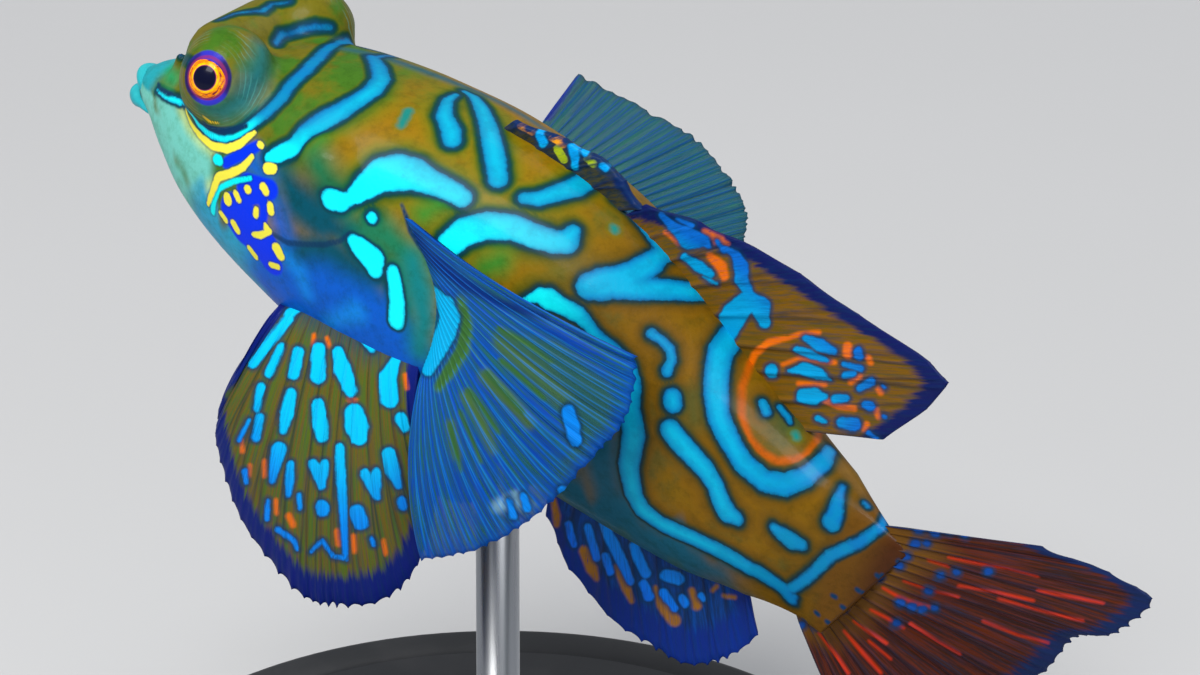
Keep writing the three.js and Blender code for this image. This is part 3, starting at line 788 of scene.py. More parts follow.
# Colours along the distance from a band's edge, in millimetres: inside it below 0, on the ground above 0
BAND_DEPTH = 0.5
BAND_EDGE = 0.05
GROUND_REACH = 1.7
FRONT_BAND = (
    (-0.3, (0.003, 0.94, 0.93)), (-0.15, (0.003, 0.86, 0.90)), (-0.07, (0.003, 0.56, 0.72)),
    (0.0, (0.003, 0.26, 0.42)), (0.05, (0.003, 0.12, 0.22)),
)
REAR_BAND = (
    (-0.5, (0.001, 0.34, 0.56)), (-0.2, (0.001, 0.22, 0.46)), (-0.08, (0.001, 0.13, 0.32)),
    (0.0, (0.003, 0.065, 0.16)), (0.05, (0.004, 0.045, 0.09)),
)
FRONT_GROUND = (
    (0.0, (0.002, 0.05, 0.10)), (0.08, (0.002, 0.045, 0.075)), (0.20, (0.003, 0.045, 0.035)),
    (0.28, (0.020, 0.070, 0.018)), (0.40, (0.080, 0.110, 0.005)), (0.60, (0.18, 0.150, 0.003)),
    (1.0, (0.25, 0.150, 0.002)), (1.6, (0.27, 0.140, 0.002)),
)
REAR_GROUND = (
    (0.0, (0.002, 0.028, 0.05)), (0.09, (0.009, 0.028, 0.032)), (0.20, (0.040, 0.042, 0.014)),
    (0.29, (0.085, 0.052, 0.006)), (0.44, (0.135, 0.066, 0.003)), (0.8, (0.175, 0.083, 0.002)),
    (1.6, (0.17, 0.090, 0.002)),
)


def ground_colour(n, look, band, patch):
    """The skin between its bands: ramps out from their edges, moss, the head's greens, the zones, the eye-
    spot's ring and a dark grain."""
    out = n.waver(band, patch, n.step(band, 0.3, 0.8))
    rear = n.value("rear")
    front_tone = n.ramp(out, 0.0, GROUND_REACH, FRONT_GROUND)
    rear_tone = n.ramp(out, 0.0, GROUND_REACH, REAR_GROUND)
    ground = n.mix(rear, front_tone, rear_tone)
    mossy = n.times(n.step(n.noise(230.0, 5.0, 0.6), 0.50, 0.66), n.step(out, 0.25, 0.9))
    ground = n.mix(n.times(mossy, 0.6), ground, n.mix(rear, look.olive, look.dull_olive))
    head_tone = n.mix(n.step(patch, 0.40, 0.60), look.head_green, look.head_olive)
    ground = n.mix(n.times(n.value("head"), n.step(band, 0.3, 0.5)), ground, head_tone)
    ground = n.mix(n.times(n.value("zone"), n.step(band, 0.05, 0.25)), ground, n.colour("zone_colour"))
    ring = n.times(n.step(n.value("ring"), 0.2, -0.2), n.step(band, 0.2, 0.4))
    ground = n.mix(ring, ground, look.ring)
    grain = n.times(n.step(n.noise(1500.0, 6.0, 0.7), 0.42, 0.70), n.step(band, 0.1, 0.5))
    return n.mix(n.times(grain, 0.38), ground, look.shade, "MULTIPLY")


def band_colour(n, look, band):
    """The bands: cyan in front, blue behind and towards the belly, deep blue next to the tail fin, marbled
    where they are blue. On the top of the back their blue is painted shade and sky reflection, and on the top
    of the head their deep blue is painted shade.
    """
    cyan = n.ramp(band, -BAND_DEPTH, BAND_EDGE, FRONT_BAND)
    blue = n.ramp(band, -BAND_DEPTH, BAND_EDGE, REAR_BAND)
    deep = n.mix(n.step(band, -0.22, 0.0), look.tail_blue, look.navy)
    blue = n.mix(n.value("deep"), blue, deep)
    marbled = n.times(n.step(n.noise(900.0, 5.0, 0.65), 0.42, 0.64), n.times(n.value("blue"), 0.5))
    return n.mix(marbled, n.mix(n.value("blue"), cyan, blue), look.band_deep)


def edged(n, painted, distance, mark, outline, outline_width, softness, waver):
    """What is painted, with one kind of edged mark over it."""
    return n.use_group(
        edged_mark_group(), Distance=n.value(distance), Mark=mark, Ground=painted, Outline=outline,
        Outline_Width=outline_width, Softness=softness, Waver=waver
    )["Color"]


# Distances from the eye's axis of gaze, in millimetres
LID_EDGE = (1.50, 1.38)
LID_RED_RING = 1.12
DOME_LINES_FROM = (1.7, 1.9)
DOME_LINES_TO = (2.9, 2.5)
DOME_LINE_TURNS = 34.0


def lid_colour(n, look, painted, patch):
    """What is painted, with each eye's violet rim, the rim's red inner ring, and fine pale rings on the
    mound: a sine of the distance from the gaze's axis."""
    lid = n.value("lid")
    violet = n.mix(n.step(patch, 0.42, 0.58), look.lid_violet, look.lid_dark)
    painted = n.mix(n.step(n.waver(lid, patch, 0.35), *LID_EDGE), painted, violet)
    off_ring = n.math("ABSOLUTE", n.math("SUBTRACT", lid, LID_RED_RING))
    painted = n.mix(n.times(n.step(off_ring, 0.14, 0.04), 0.7), painted, look.lid_red)
    lines = n.math("SINE", n.times(n.plus(lid, n.times(patch, 0.5)), DOME_LINE_TURNS))
    on_dome = n.times(n.step(lid, *DOME_LINES_FROM), n.step(lid, *DOME_LINES_TO))
    lines = n.times(n.step(lines, 0.5, 1.0), on_dome)
    return n.mix(n.times(lines, n.times(n.step(patch, 0.42, 0.6), 0.26)), painted, look.dome_line)


def skin_material(look):
    """The painted, wet skin: ground, bands, dots, the chin's patch and yellow marks, and the eyes' rims."""
    material, n, shader = new_material("painted skin", 0.5, coat=0.06, coat_roughness=0.14, specular=0.07)
    patch = n.noise(330.0, 4.0, 0.55)
    band = n.waver(n.value("band"), n.noise(3000.0, 3.0, 0.6), 0.16)
    ground = ground_colour(n, look, band, patch)
    painted = n.mix(n.step(band, 0.04, -0.04), ground, band_colour(n, look, band))
    painted = edged(n, painted, "teal", look.teal, look.olive, 0.0, 0.15, 0.1)
    painted = n.mix(n.step(n.value("chin"), 0.12, -0.12), painted, look.chin_blue)
    painted = edged(n, painted, "rim", look.cyan, look.navy, 0.03, 0.05, 0.05)
    painted = edged(n, painted, "yellow", look.yellow, look.navy, 0.04, 0.04, 0.06)
    painted = n.mix(n.times(n.step(n.value("gill_line"), 0.12, -0.05), 0.8), painted, look.navy)
    painted = n.mix(n.step(n.value("dark"), 0.12, -0.08), painted, look.navy)
    painted = n.mix(n.step(n.value("gold"), 0.08, -0.05), painted, look.iris_gold)
    painted = lid_colour(n, look, painted, patch)
    # The mouth's gap between the lips is painted dark: painted shade.
    n.link(n.mix(n.value("mouth"), painted, look.mouth), shader.inputs["Base Color"])
    relief = n.use_group(fine_relief_group(), Strength=0.25, Size=4200.0)
    n.link(relief["Normal"], shader.inputs["Normal"])
    n.link(n.plus(0.40, n.times(relief["Mottle"], 0.16)), shader.inputs["Roughness"])
    return material


def fin_material(name, look, ground, streak, ray, margin, spot, outer_spot, flare, margin_width, opacity=1.0,
                 root=None, root_to=0.0):
    """A rayed fin: a streaked membrane, its root, zones, marked rays, a margin, flecks and edged spots,
    partly clear. Streaks are a noise drawn out along the rays."""
    material, n, shader = new_material(name, 0.5, coat=0.03, coat_roughness=0.25, specular=0.08)
    along, rib = n.value("along"), n.value("rib")
    where = n.pair(n.value("across"), along)
    streaks = n.noise(6.0, 4.0, 0.65, (9.0, 0.55, 1.0), where)
    fine = n.noise(6.0, 3.0, 0.6, (24.0, 1.1, 1.0), where)
    colour = n.mix(n.step(streaks, 0.42, 0.60), ground, streak)
    if root is not None:
        colour = n.mix(n.step(n.plus(along, n.times(fine, 0.2)), root_to + 0.2, root_to), colour, root)
    colour = n.mix(n.step(n.waver(n.value("zone"), fine, 0.8), 0.25, 0.75), colour, n.colour("zone_colour"))
    ray_strength = n.plus(0.25, n.times(n.step(streaks, 0.35, 0.6), 0.6))
    colour = n.mix(n.times(n.math("POWER", rib, 2.2), ray_strength), colour, ray)
    fringe = n.waver(n.value("free"), streaks, 2.4)
    colour = n.mix(n.step(fringe, margin_width + 0.5, margin_width - 0.4), colour, margin)
    flecked = n.times(n.step(n.value("flare"), 0.12, -0.12), n.step(fine, 0.26, 0.46))
    marked = n.use_group(
        edged_mark_group(), Distance=n.value("spot"), Mark=n.mix(n.step(along, 0.35, 0.75), spot, outer_spot),
        Ground=n.mix(flecked, colour, flare), Outline=look.navy, Outline_Width=0.13, Softness=0.06, Waver=0.06
    )
    shade = n.times(n.plus(n.step(fine, 0.42, 0.70), n.times(rib, 0.3)), 0.34)
    shade = n.times(shade, n.step(along, 0.0, 0.5))
    n.link(n.mix(shade, marked["Color"], look.navy), shader.inputs["Base Color"])
    relief = n.use_group(fine_relief_group(), Strength=0.18, Size=5200.0)
    n.link(relief["Normal"], shader.inputs["Normal"])
    if opacity < 1:
        clear = n.times(1.0 - opacity, n.math("SUBTRACT", 1.0, rib, True))
        clear = n.times(clear, n.math("SUBTRACT", 1.0, marked["Inside"], True))
        n.link(n.math("SUBTRACT", 1.0, n.times(clear, n.value("thin")), True), shader.inputs["Alpha"])
    return material


# Angles from the gaze where the eye's rings change, in degrees, each from its inner to its outer end
PUPIL_EDGE = (20.5, 22.0)
PUPIL_RIM = (22.0, 23.5)
GOLD_EDGE = (25.0, 29.0)
IRIS_EDGE = (36.0, 40.0)
RED_EDGE = (41.0, 44.0)
PUPIL = (0.003, 0.004, 0.02)


def eye_material(look):
    """A glassy eye by its polar angle: black pupil, gold ring, red iris with orange flecks, then violet."""
    material, n, shader = new_material("eye", 0.3, coat=0.14, coat_roughness=0.04, specular=0.06)
    polar = n.value("polar")
    flecks = n.noise(2.2, 3.0, 0.6, (1.0, 0.12, 1.0), n.pair(n.value("turn"), polar))
    iris = n.mix(n.step(flecks, 0.38, 0.50), look.iris_red, look.iris_orange)
    iris = n.mix(n.step(flecks, 0.52, 0.66), iris, look.iris_gold)
    gold = n.mix(n.step(flecks, 0.30, 0.55), look.iris_orange, look.iris_gold)
    ragged = n.waver(polar, flecks, 9.0)
    colour = n.mix(n.step(ragged, *GOLD_EDGE), gold, iris)
    colour = n.mix(n.step(ragged, *IRIS_EDGE), colour, look.lid_red)
    colour = n.mix(n.step(ragged, *RED_EDGE), colour, look.lid_violet)
    colour = n.mix(n.step(polar, *PUPIL_RIM), look.lid_red, colour)
    colour = n.mix(n.step(polar, *PUPIL_EDGE), PUPIL, colour)
    n.link(colour, shader.inputs["Base Color"])
    return material


def lip_material(look):
    """Fleshy turquoise lips, mottled with a paler tone."""
    material, n, shader = new_material("lips", 0.36, coat=0.12, specular=0.1)
    relief = n.use_group(fine_relief_group(), Strength=0.3, Size=5200.0)
    n.link(n.mix(n.step(relief["Mottle"], 0.35, 0.65), look.lip, look.lip_pale), shader.inputs["Base Color"])
    n.link(relief["Normal"], shader.inputs["Normal"])
    return material


def base_material():
    """Matt black lacquer with a fine grain and faint dust."""
    material, n, shader = new_material("base lacquer", 0.5)
    dust = n.noise(160.0, 5.0, 0.6)
    black, dusty = (0.012, 0.013, 0.015), (0.03, 0.03, 0.032)
    n.link(n.mix(n.step(dust, 0.45, 0.8), black, dusty), shader.inputs["Base Color"])
    n.link(n.plus(0.42, n.times(dust, 0.2)), shader.inputs["Roughness"])
    n.link(n.bump(n.noise(5200.0), 0.25, 0.00004), shader.inputs["Normal"])
    return material


def rod_material():
    """Brushed steel, its scratches running along the rod."""
    material, n, shader = new_material("brushed steel", 0.28, metallic=1.0)
    brushed = n.noise(3000.0, 4.0, 0.6, (1.0, 1.0, 0.02))
    n.link(n.mix(brushed, (0.52, 0.53, 0.55), (0.70, 0.71, 0.72)), shader.inputs["Base Color"])
    n.link(n.plus(0.2, n.times(brushed, 0.2)), shader.inputs["Roughness"])
    return material


# Skin

HALF_AROUND = 118
TIP_RINGS = 12
SNOUT_TIP = -0.35
SKIN_SPANS = ((0.3, 3.2, 22), (3.2, 9.7, 68), (9.7, BODY_LENGTH, 270))
SNOUT_ROUND = 0.9
SNOUT_ROUND_TO = 0.55
SNOUT_FLATTER = 0.75
TAIL_TAPER = 1.6
TAPER_FROM = 4.0
TAPER_RINGS = 18
TAIL_NARROWER = 0.87
TAIL_LOWER = 0.10

# The head's features: where they are, how softly each joins the rest, and the rays and places tried
FEATURES_FROM = 1.2
FEATURES_TO = 17
JOIN = {"lid": 0.25, "saddle": 0.8, "nostril": 0.45, "head": 0.9, "gill": 1.1}
TRY_TURNS = 361
TRY_DEPTHS = 56
TRY_FROM = 0.9
TRY_TO = 1.45
TRY_WIDEST = 6.5
LID_AREA = {"out": 2.0, "radius": 3.1}


def soft_union(a, b, k):
    """The lower of two distances, rounded where they meet: min(a, b) - k/4 * max(0, 1 - |a - b|/k)^2."""
    h = np.maximum(0, 1 - np.abs(a - b) / k)
    return np.minimum(a, b) - k / 4 * h * h


def eye_centre(hand):
    """The eyeball's centre, out along the gaze from the orbit's."""
    side = hand * (ORBIT["side"] + EYE_OUT * math.cos(EYE_TILT))
    return np.array([ORBIT["s"], side, ORBIT["z"] + EYE_OUT * math.sin(EYE_TILT)])


def head_features(s, side, z):
    """Signed distances at (s, side, z) to the eye mounds, saddle and nostrils as one, and to the gill
    bulges, and the distance from the gaze's axis. Both flanks are worked on the left one. A mound is a ball
    stretched upwards with a ring round the gaze for its lid, the saddle a bar across the head with round
    ends, a nostril a tapering bar, and a gill bulge an ellipsoid."""
    p = np.stack([s, -np.abs(side), z], -1)
    mound = np.linalg.norm((p - ORBIT_LEFT) / ORBIT_STRETCH, axis=-1) - ORBIT["radius"] - MOUND_THICK
    q = p - (ORBIT_LEFT + GAZE * LID_RING["out"])
    out = q @ GAZE
    from_axis = np.linalg.norm(q - out[..., None] * GAZE, axis=-1)
    lid = np.hypot(from_axis - LID_RING["radius"], out) - LID_RING["thick"]
    mound = soft_union(mound, lid, JOIN["lid"])
    foot, top = np.array(NOSTRIL["foot"]), np.array(NOSTRIL["top"])
    t = np.clip((p - foot) @ (top - foot) / ((top - foot) @ (top - foot)), 0, 1)
    nostril = np.linalg.norm(p - foot - t[..., None] * (top - foot), axis=-1)
    nostril = nostril - NOSTRIL["radius"] + NOSTRIL["taper"] * t
    past_bar = np.maximum(np.abs(side) - SADDLE["half_width"], 0)
    saddle = np.sqrt((s - SADDLE["s"]) ** 2 + past_bar**2 + (z - SADDLE["z"]) ** 2) - SADDLE["radius"]
    gill = np.linalg.norm((p - np.array(GILL_BULGE["at"])) / np.array(GILL_BULGE["radii"]), axis=-1) - 1
    head = soft_union(soft_union(mound, saddle, JOIN["saddle"]), nostril, JOIN["nostril"])
    return head, gill * GILL_BULGE["radii"][1], from_axis


def skin_rows():
    """Distances from the snout of the skin's rings: closer at the snout's tip and through the eyes."""
    rise = 1 - np.cos(np.linspace(0, math.pi / 2, TIP_RINGS, endpoint=False))
    tip = SNOUT_TIP + (SKIN_SPANS[0][0] - SNOUT_TIP) * rise
    spans = [np.linspace(*span, endpoint=False) for span in SKIN_SPANS]
    return np.concatenate([tip, *spans, np.linspace(BODY_LENGTH, BODY_LENGTH + TAIL_TAPER, TAPER_RINGS)])


def pick(table, index):
    """One entry from each row of a table's last axis."""
    return np.take_along_axis(table, index[..., None], -1)[..., 0]


def head_reach(s, body, middle, c, q):
    """How far out the surface lies on each ray of the head's sections. A ray runs from inside the body
    outwards, at (side, z) = (-r q, middle + r c), and its outermost zero of the joined distances is found
    by a straight line between the two places tried on either side of it."""
    near = body[..., None]
    start, end = near * TRY_FROM, np.maximum(near, TRY_WIDEST) * TRY_TO
    r = start + np.linspace(0, 1, TRY_DEPTHS) * (end - start)
    where = np.broadcast_to(s[..., None], r.shape)
    mound, gill, _ = head_features(where, -r * q[..., None], middle[..., None] + r * c[..., None])
    field = soft_union(soft_union(r - near, mound, JOIN["head"]), gill, JOIN["gill"])
    last = r.shape[-1] - 1 - np.argmax((field < 0)[..., ::-1], axis=-1)
    last = np.minimum(last, r.shape[-1] - 2)
    f0, f1, r0, r1 = pick(field, last), pick(field, last + 1), pick(r, last), pick(r, last + 1)
    return r0 + (r1 - r0) * np.clip(f0 / (f0 - f1 - 1e-9), 0, 1)


def skin_grid():
    """The skin's rings: each section is a superellipse, rounded off at the snout and narrowed at the tail,
    with the head's features joined to it; then each half ring is spaced evenly by its arc length."""
    s = skin_rows()[:, None]
    turn = np.radians(np.linspace(0, 180, TRY_TURNS))[None, :]
    back, belly = back_at(s), belly_at(s)
    to_tip = (SNOUT_ROUND_TO - np.minimum(s, SNOUT_ROUND_TO)) / SNOUT_ROUND
    snout = np.sqrt(np.clip(1 - to_tip**2, 0.02, 1))
    beyond = np.clip((s - BODY_LENGTH + TAPER_FROM) / (TAIL_TAPER + TAPER_FROM), 0, 1)
    width = width_at(s) * snout * (1 - TAIL_NARROWER * beyond**1.15)
    middle = (back + belly) / 2
    tall = (back - belly) / 2 * (1 - SNOUT_FLATTER * (1 - snout)) * (1 - TAIL_LOWER * beyond)
    c, q = np.cos(turn), np.sin(turn)
    power = SECTION_POWER
    reach = ((np.abs(c) / tall) ** power + (np.abs(q) / width) ** power) ** (-1 / power)
    rows = np.nonzero((s[:, 0] > FEATURES_FROM) & (s[:, 0] < FEATURES_TO))[0]
    reach[rows] = head_reach(s[rows], reach[rows], middle[rows], c, q)
    for _ in range(2):
        reach[rows[1:-1]] = (reach[rows[:-2]] + 2 * reach[rows[1:-1]] + reach[rows[2:]]) / 4
        reach[:, 1:-1] = (reach[:, :-2] + 2 * reach[:, 1:-1] + reach[:, 2:]) / 4
    side, z = -reach * q, middle + reach * c
    steps = np.hypot(np.diff(side, axis=1), np.diff(z, axis=1))
    length = np.concatenate([np.zeros((len(s), 1)), np.cumsum(steps, 1)], 1)
    length /= length[:, -1:]
    even = np.linspace(0, 1, HALF_AROUND + 1)
    half_side = np.array([np.interp(even, a, b) for a, b in zip(length, side)])
    half_z = np.array([np.interp(even, a, b) for a, b in zip(length, z)])
    side = np.concatenate([half_side, -half_side[:, -2:0:-1]], 1)
    z = np.concatenate([half_z, half_z[:, -2:0:-1]], 1)
    cosine = np.clip((z - middle) / tall, -1, 1)
    return slanted(np.broadcast_to(s, side.shape), cosine), side, z


def ring_normals(rings):
    """Outward directions at the rings' points, from the cross product of steps around them and along them."""
    normal = np.cross(np.roll(rings, -1, 1) - np.roll(rings, 1, 1), np.gradient(rings, axis=0))
    return normal / (np.linalg.norm(normal, axis=-1, keepdims=True) + 1e-12)


def seen_surface(places, row_points, normals, mirrored):
    """A look-up tree in photograph pixels of the points that face the camera, with their places and mirror
    images, and how squarely each point faces it."""
    eye = (pitched(FOCUS_POINT) + SET_DOWN + VIEW_BACK * CAMERA_DISTANCE) * MM
    sight = eye - row_points
    facing = np.einsum("ij,ij->i", normals, sight) / np.linalg.norm(sight, axis=1)
    index = np.nonzero(facing > 0)[0]
    px = photo_pixels(row_points[index])
    tree = kdtree.KDTree(len(index))
    for i, (x, y) in enumerate(px):
        tree.insert((x, y, 0), i)
    tree.balance()
    return (tree, places[index], mirrored[index]), facing


def between(x, rise_from, rise_to, fall_from, fall_to):
    """1 within a stretch and 0 outside it, with soft ends."""
    return smoothstep(x, rise_from, rise_to) * (1 - smoothstep(x, fall_from, fall_to))


def blend_zones(shape, zones):
    """Tints laid over one another by their shares: how much of each point is covered, and its colour."""
    cover, colour = np.zeros(shape), np.zeros((*shape, 3))
    for tone, share in zones:
        colour = colour * (1 - share[..., None]) + np.array(tone) * share[..., None]
        cover = cover * (1 - share) + share
    return cover, colour / np.maximum(cover, 1e-3)[..., None]


def skin_zones(look, place, down, distance):
    """The skin's ground tints with their shares, the lowest first: some lie by place, then those by
    strokes, and over them the mouth, the throat and the tail's root."""
    throat = smoothstep(down + 0.3 * (1 - smoothstep(place, 2, 4.5)), 0.16, 0.34)
    zones = [
        ("throat", smoothstep(down, -0.15, 0.10) * (1 - smoothstep(place, 3.5, 6.0))),
        ("belly_blue", smoothstep(down, 0.12, 0.36) * between(place, 9.5, 12.5, 26, 31)),
        ("belly_teal", smoothstep(down, 0.30, 0.60) * between(place, 27, 32, 42, 47)),
        ("belly_olive", smoothstep(down, 0.75, 0.98) * between(place, 20, 24, 44, 48) * 0.7),
        *((tone, smoothstep(-distance(strokes), -soft, soft)) for tone, soft, strokes in ZONES),
        ("lip", 1 - smoothstep(place, 0.9, 2.0)),
        ("throat", throat * (1 - smoothstep(place, 6.5, 8.5))),
        ("throat_edge", smoothstep(down, 0.16, 0.36) * between(place, 6.5, 8.5, 11, 13.5)),
        ("tail_root", smoothstep(place, 48.4, 50.0)),
        ("tail_end", smoothstep(place, 50.2, 52.4)),
    ]
    return [(getattr(look, tone), share) for tone, share in zones]


def make_skin(look):
    """Head, trunk and tail as one skin, with its marks as numbers on its points. Marks are read where the
    camera sees them; the right flank takes their mirror image, each fading out where the surface turns to
    or from the camera."""
    place, side, z = skin_grid()
    fish = body_point(place, side, z)
    rings = to_row(fish)
    points = fish.reshape(-1, 3)
    mirrored = fish[:, -np.arange(side.shape[1])].reshape(-1, 3)
    surface, facing = seen_surface(points, rings.reshape(-1, 3), ring_normals(rings).reshape(-1, 3), mirrored)
    right = side.ravel() > 0
    seen_fade = np.where(right, HIDDEN * smoothstep(0.10 - facing, 0.0, 0.35), 0)
    mirror_fade = np.where(right, HIDDEN * smoothstep(facing, -0.30, 0.02), FAR)

    def distance(*tables):
        strokes = strokes_of(*tables)
        return marks_distance(points, strokes, surface, seen_fade, mirror_fade).reshape(place.shape)

    _, _, from_axis = head_features(place, side, z)
    from_lid = np.stack([place, -np.abs(side), z], -1) - ORBIT_LEFT - GAZE * LID_AREA["out"]
    near_lid = np.linalg.norm(from_lid, axis=-1) < LID_AREA["radius"]
    back, belly = back_at(place), belly_at(place)
    up = np.clip((z - (back + belly) / 2) / ((back - belly) / 2), -1, 1)
    down = 0.10 * np.sin(place * 1.7) + 0.05 * np.sin(place * 4.1 + 1) - up
    zone, zone_colour = blend_zones(place.shape, skin_zones(look, place, down, distance))
    on_head = 1 - smoothstep(place, 11, 14)
    # The bands' share of blue: the rise towards the top of the back, larger on the head, is painted shade and
    # sky reflection; the rise towards the tail is their own blue; they also turn bluer towards the belly.
    blue = 0.9 * smoothstep(up, 0.45, 0.9) + 0.9 * smoothstep(up, 0.45, 0.8) * on_head
    blue += 0.95 * smoothstep(place, 28, 35) + 0.5 * smoothstep(-up, 0.4, 0.9)
    values = {
        "band": distance(BANDS), "teal": distance(TEAL_DOTS), "yellow": distance(YELLOW_LINES, CHIN_SPOTS),
        "chin": distance(CHIN_BLUE), "rim": distance(CHIN_CYAN), "ring": distance(EYESPOT_RING),
        "gill_line": distance(GILL_LINE), "dark": distance(DARK_LINES, TAIL_DOTS),
        "gold": distance(GOLD_LINE), "zone": zone, "blue": np.clip(blue, 0, 1),
        # Deep blue next to the tail fin is the bands' own colour; on the top of the head it is painted shade.
        "deep": 0.85 * smoothstep(place, 41, 50) + 0.7 * smoothstep(up, 0.6, 0.9) * on_head,
        "rear": smoothstep(place, 24, 33), "head": 1 - smoothstep(place + 2.5 * np.abs(side) / 7, 13.0, 18.0),
        "lid": np.where(near_lid, from_axis, FAR),
        # The mouth's gap between the lips, painted dark as painted shade.
        "mouth": smoothstep(0.9 - place, 0.0, 0.5) * (1 - smoothstep(np.abs(z - MOUTH_HEIGHT), 0.05, 0.5)),
    }
    skin = rings_piece("skin", rings, values, {"zone_colour": zone_colour})
    return wear(skin, skin_material(look), "trunk", "head", "trunk", "tail")


# Eyes and lips

EYE_RINGS = 72
EYE_SIDES = 96
CORNEA_BULGE = 0.05
CORNEA_ANGLE = 30
LIP_SIDES = 28
LIP_RINGS = 72


def make_eye(name, hand, material, radius):
    """A ball of rings about the gaze: polar angle from it, turn around it. Its radius grows by CORNEA_BULGE
    at the front, and falls off from there as a bell curve of the polar angle."""
    look = GAZE * np.array([1, -hand, 1])
    aside = np.array([1.0, 0.0, 0.0])
    upward = np.cross(look, aside)
    polar = np.linspace(0.5, 179.5, EYE_RINGS)[:, None]
    turn = np.arange(EYE_SIDES)[None, :] / EYE_SIDES * 2 * math.pi
    r = radius * (1 + CORNEA_BULGE * np.exp(-((polar / CORNEA_ANGLE) ** 2)))
    ahead, off = (r * np.cos(np.radians(polar)))[..., None], (r * np.sin(np.radians(polar)))[..., None]
    around = np.cos(turn)[..., None] * aside + np.sin(turn)[..., None] * upward
    place = eye_centre(hand) + ahead * look + off * around
    rings = to_row(body_point(place[..., 0], place[..., 1], place[..., 2]))
    values = {k: np.broadcast_to(v, (EYE_RINGS, EYE_SIDES)) for k, v in (("polar", polar), ("turn", turn))}
    return wear(rings_piece(name + "_ball", rings, values, outward=hand > 0), material, "eye", name)


def make_lip(name, hand, material, radius):
    """A lip as a tube along a curve around the mouth's edge, thickest at the front, thin at its corners."""
    front = -0.25 if hand > 0 else -0.3
    w = LIP_HALF_WIDTH
    path = body_point(
        np.array([1.7, 0.75, 0.1, front, 0.1, 0.75, 1.7]),
        np.array([-w - 0.45, -w, -w * 0.55, 0, w * 0.55, w, w + 0.45]),
        MOUTH_HEIGHT + hand * (LIP_SPACING / 2 + np.array([-0.3, -0.25, -0.05, 0, -0.05, -0.25, -0.3])),
    )
    radii = radius * np.array([0.2, 0.5, 0.85, 1, 0.85, 0.5, 0.2])
    rings = to_row(tube_rings(path, radii, LIP_SIDES, LIP_RINGS))
    return wear(rings_piece(name + "_flesh", rings, outward=False), material, "lips", name)


# Fins

PECTORAL_ROOT = ((20.0, 60), (21.8, 69), (23.2, 80), (24.0, 93), (24.3, 106))
PECTORAL_SINK = (0.15, 0.4, 0.7, 0.8, 0.8)
PECTORAL_LEFT_TIPS = (
    (34.4, -12.1, 5.9), (35.4, -12.6, 3.0), (34.7, -13, -0.2), (33.1, -13.4, -4.9), (30.8, -13.4, -8.6),
    (27.9, -13, -11.5),
)
PECTORAL_RIGHT_TIPS = (
    (18.6, 15.5, 2.5), (22.7, 14.5, 3.6), (26.8, 13.5, 4.4), (29.7, 12.4, 3.9), (31.6, 11.2, 3.0),
    (32.4, 9.8, 1.7),
)
PELVIC_ROOT = ((14.6, 132), (16.2, 122), (18.8, 116), (21.4, 112), (24.0, 109))
PELVIC_TIPS = (
    (13.2, -9, -12), (13.7, -9.6, -13.9), (16.9, -10.5, -17.4), (21.7, -11, -19.4), (23.9, -11, -18.8),
    (26.6, -10.6, -16.1), (26.8, -9.6, -11.9), (26.0, -9, -9.3),
)
PELVIC_SINK = 0.45
PELVIC_RIGHT_SHIFT = (1.0, -6.2, -0.3)
FIRST_DORSAL_ROOT = ((20.2, 0), (24.0, 0), (27.6, 0))
FIRST_DORSAL_TIPS = ((21.4, 9.0), (25.4, 9.9), (28.0, 9.9), (30.2, 9.0))
SECOND_DORSAL_ROOT = ((28.8, 0), (33.2, 0), (38.0, 0), (43.0, 0))
SECOND_DORSAL_TIPS = (
    (30.2, 9.3), (33.5, 10.4), (36.3, 11.1), (40.2, 11.9), (44.4, 12.4), (49.5, 13.2), (51.0, 13.0),
    (50.4, 10.8), (48.8, 7.6),
)
ANAL_ROOT = ((30.8, 180), (35.5, 180), (40.5, 180), (45.6, 180))
ANAL_TIPS = (
    (31.6, -10.9), (34.6, -12.9), (38.4, -13.4), (41, -13), (43, -12.4), (44.7, -11), (45.8, -9.4),
    (46.6, -7.4),
)
CAUDAL_ROOT = ((50.6, 3.4), (50.0, 1.6), (49.0, -0.8), (48.2, -2.6), (47.6, -4.0))
CAUDAL_TIPS = (
    (60, 9.6, 0), (66.9, 11.8, 0), (66.1, 9.0, 0), (63.9, 6.8, 0.4), (62.6, 3.2, 1.2), (60.6, -1.2, 2.4),
    (58.6, -5.6, 3.2), (56.2, -9.4, 3.2), (52.6, -9.8, 2.4),
)

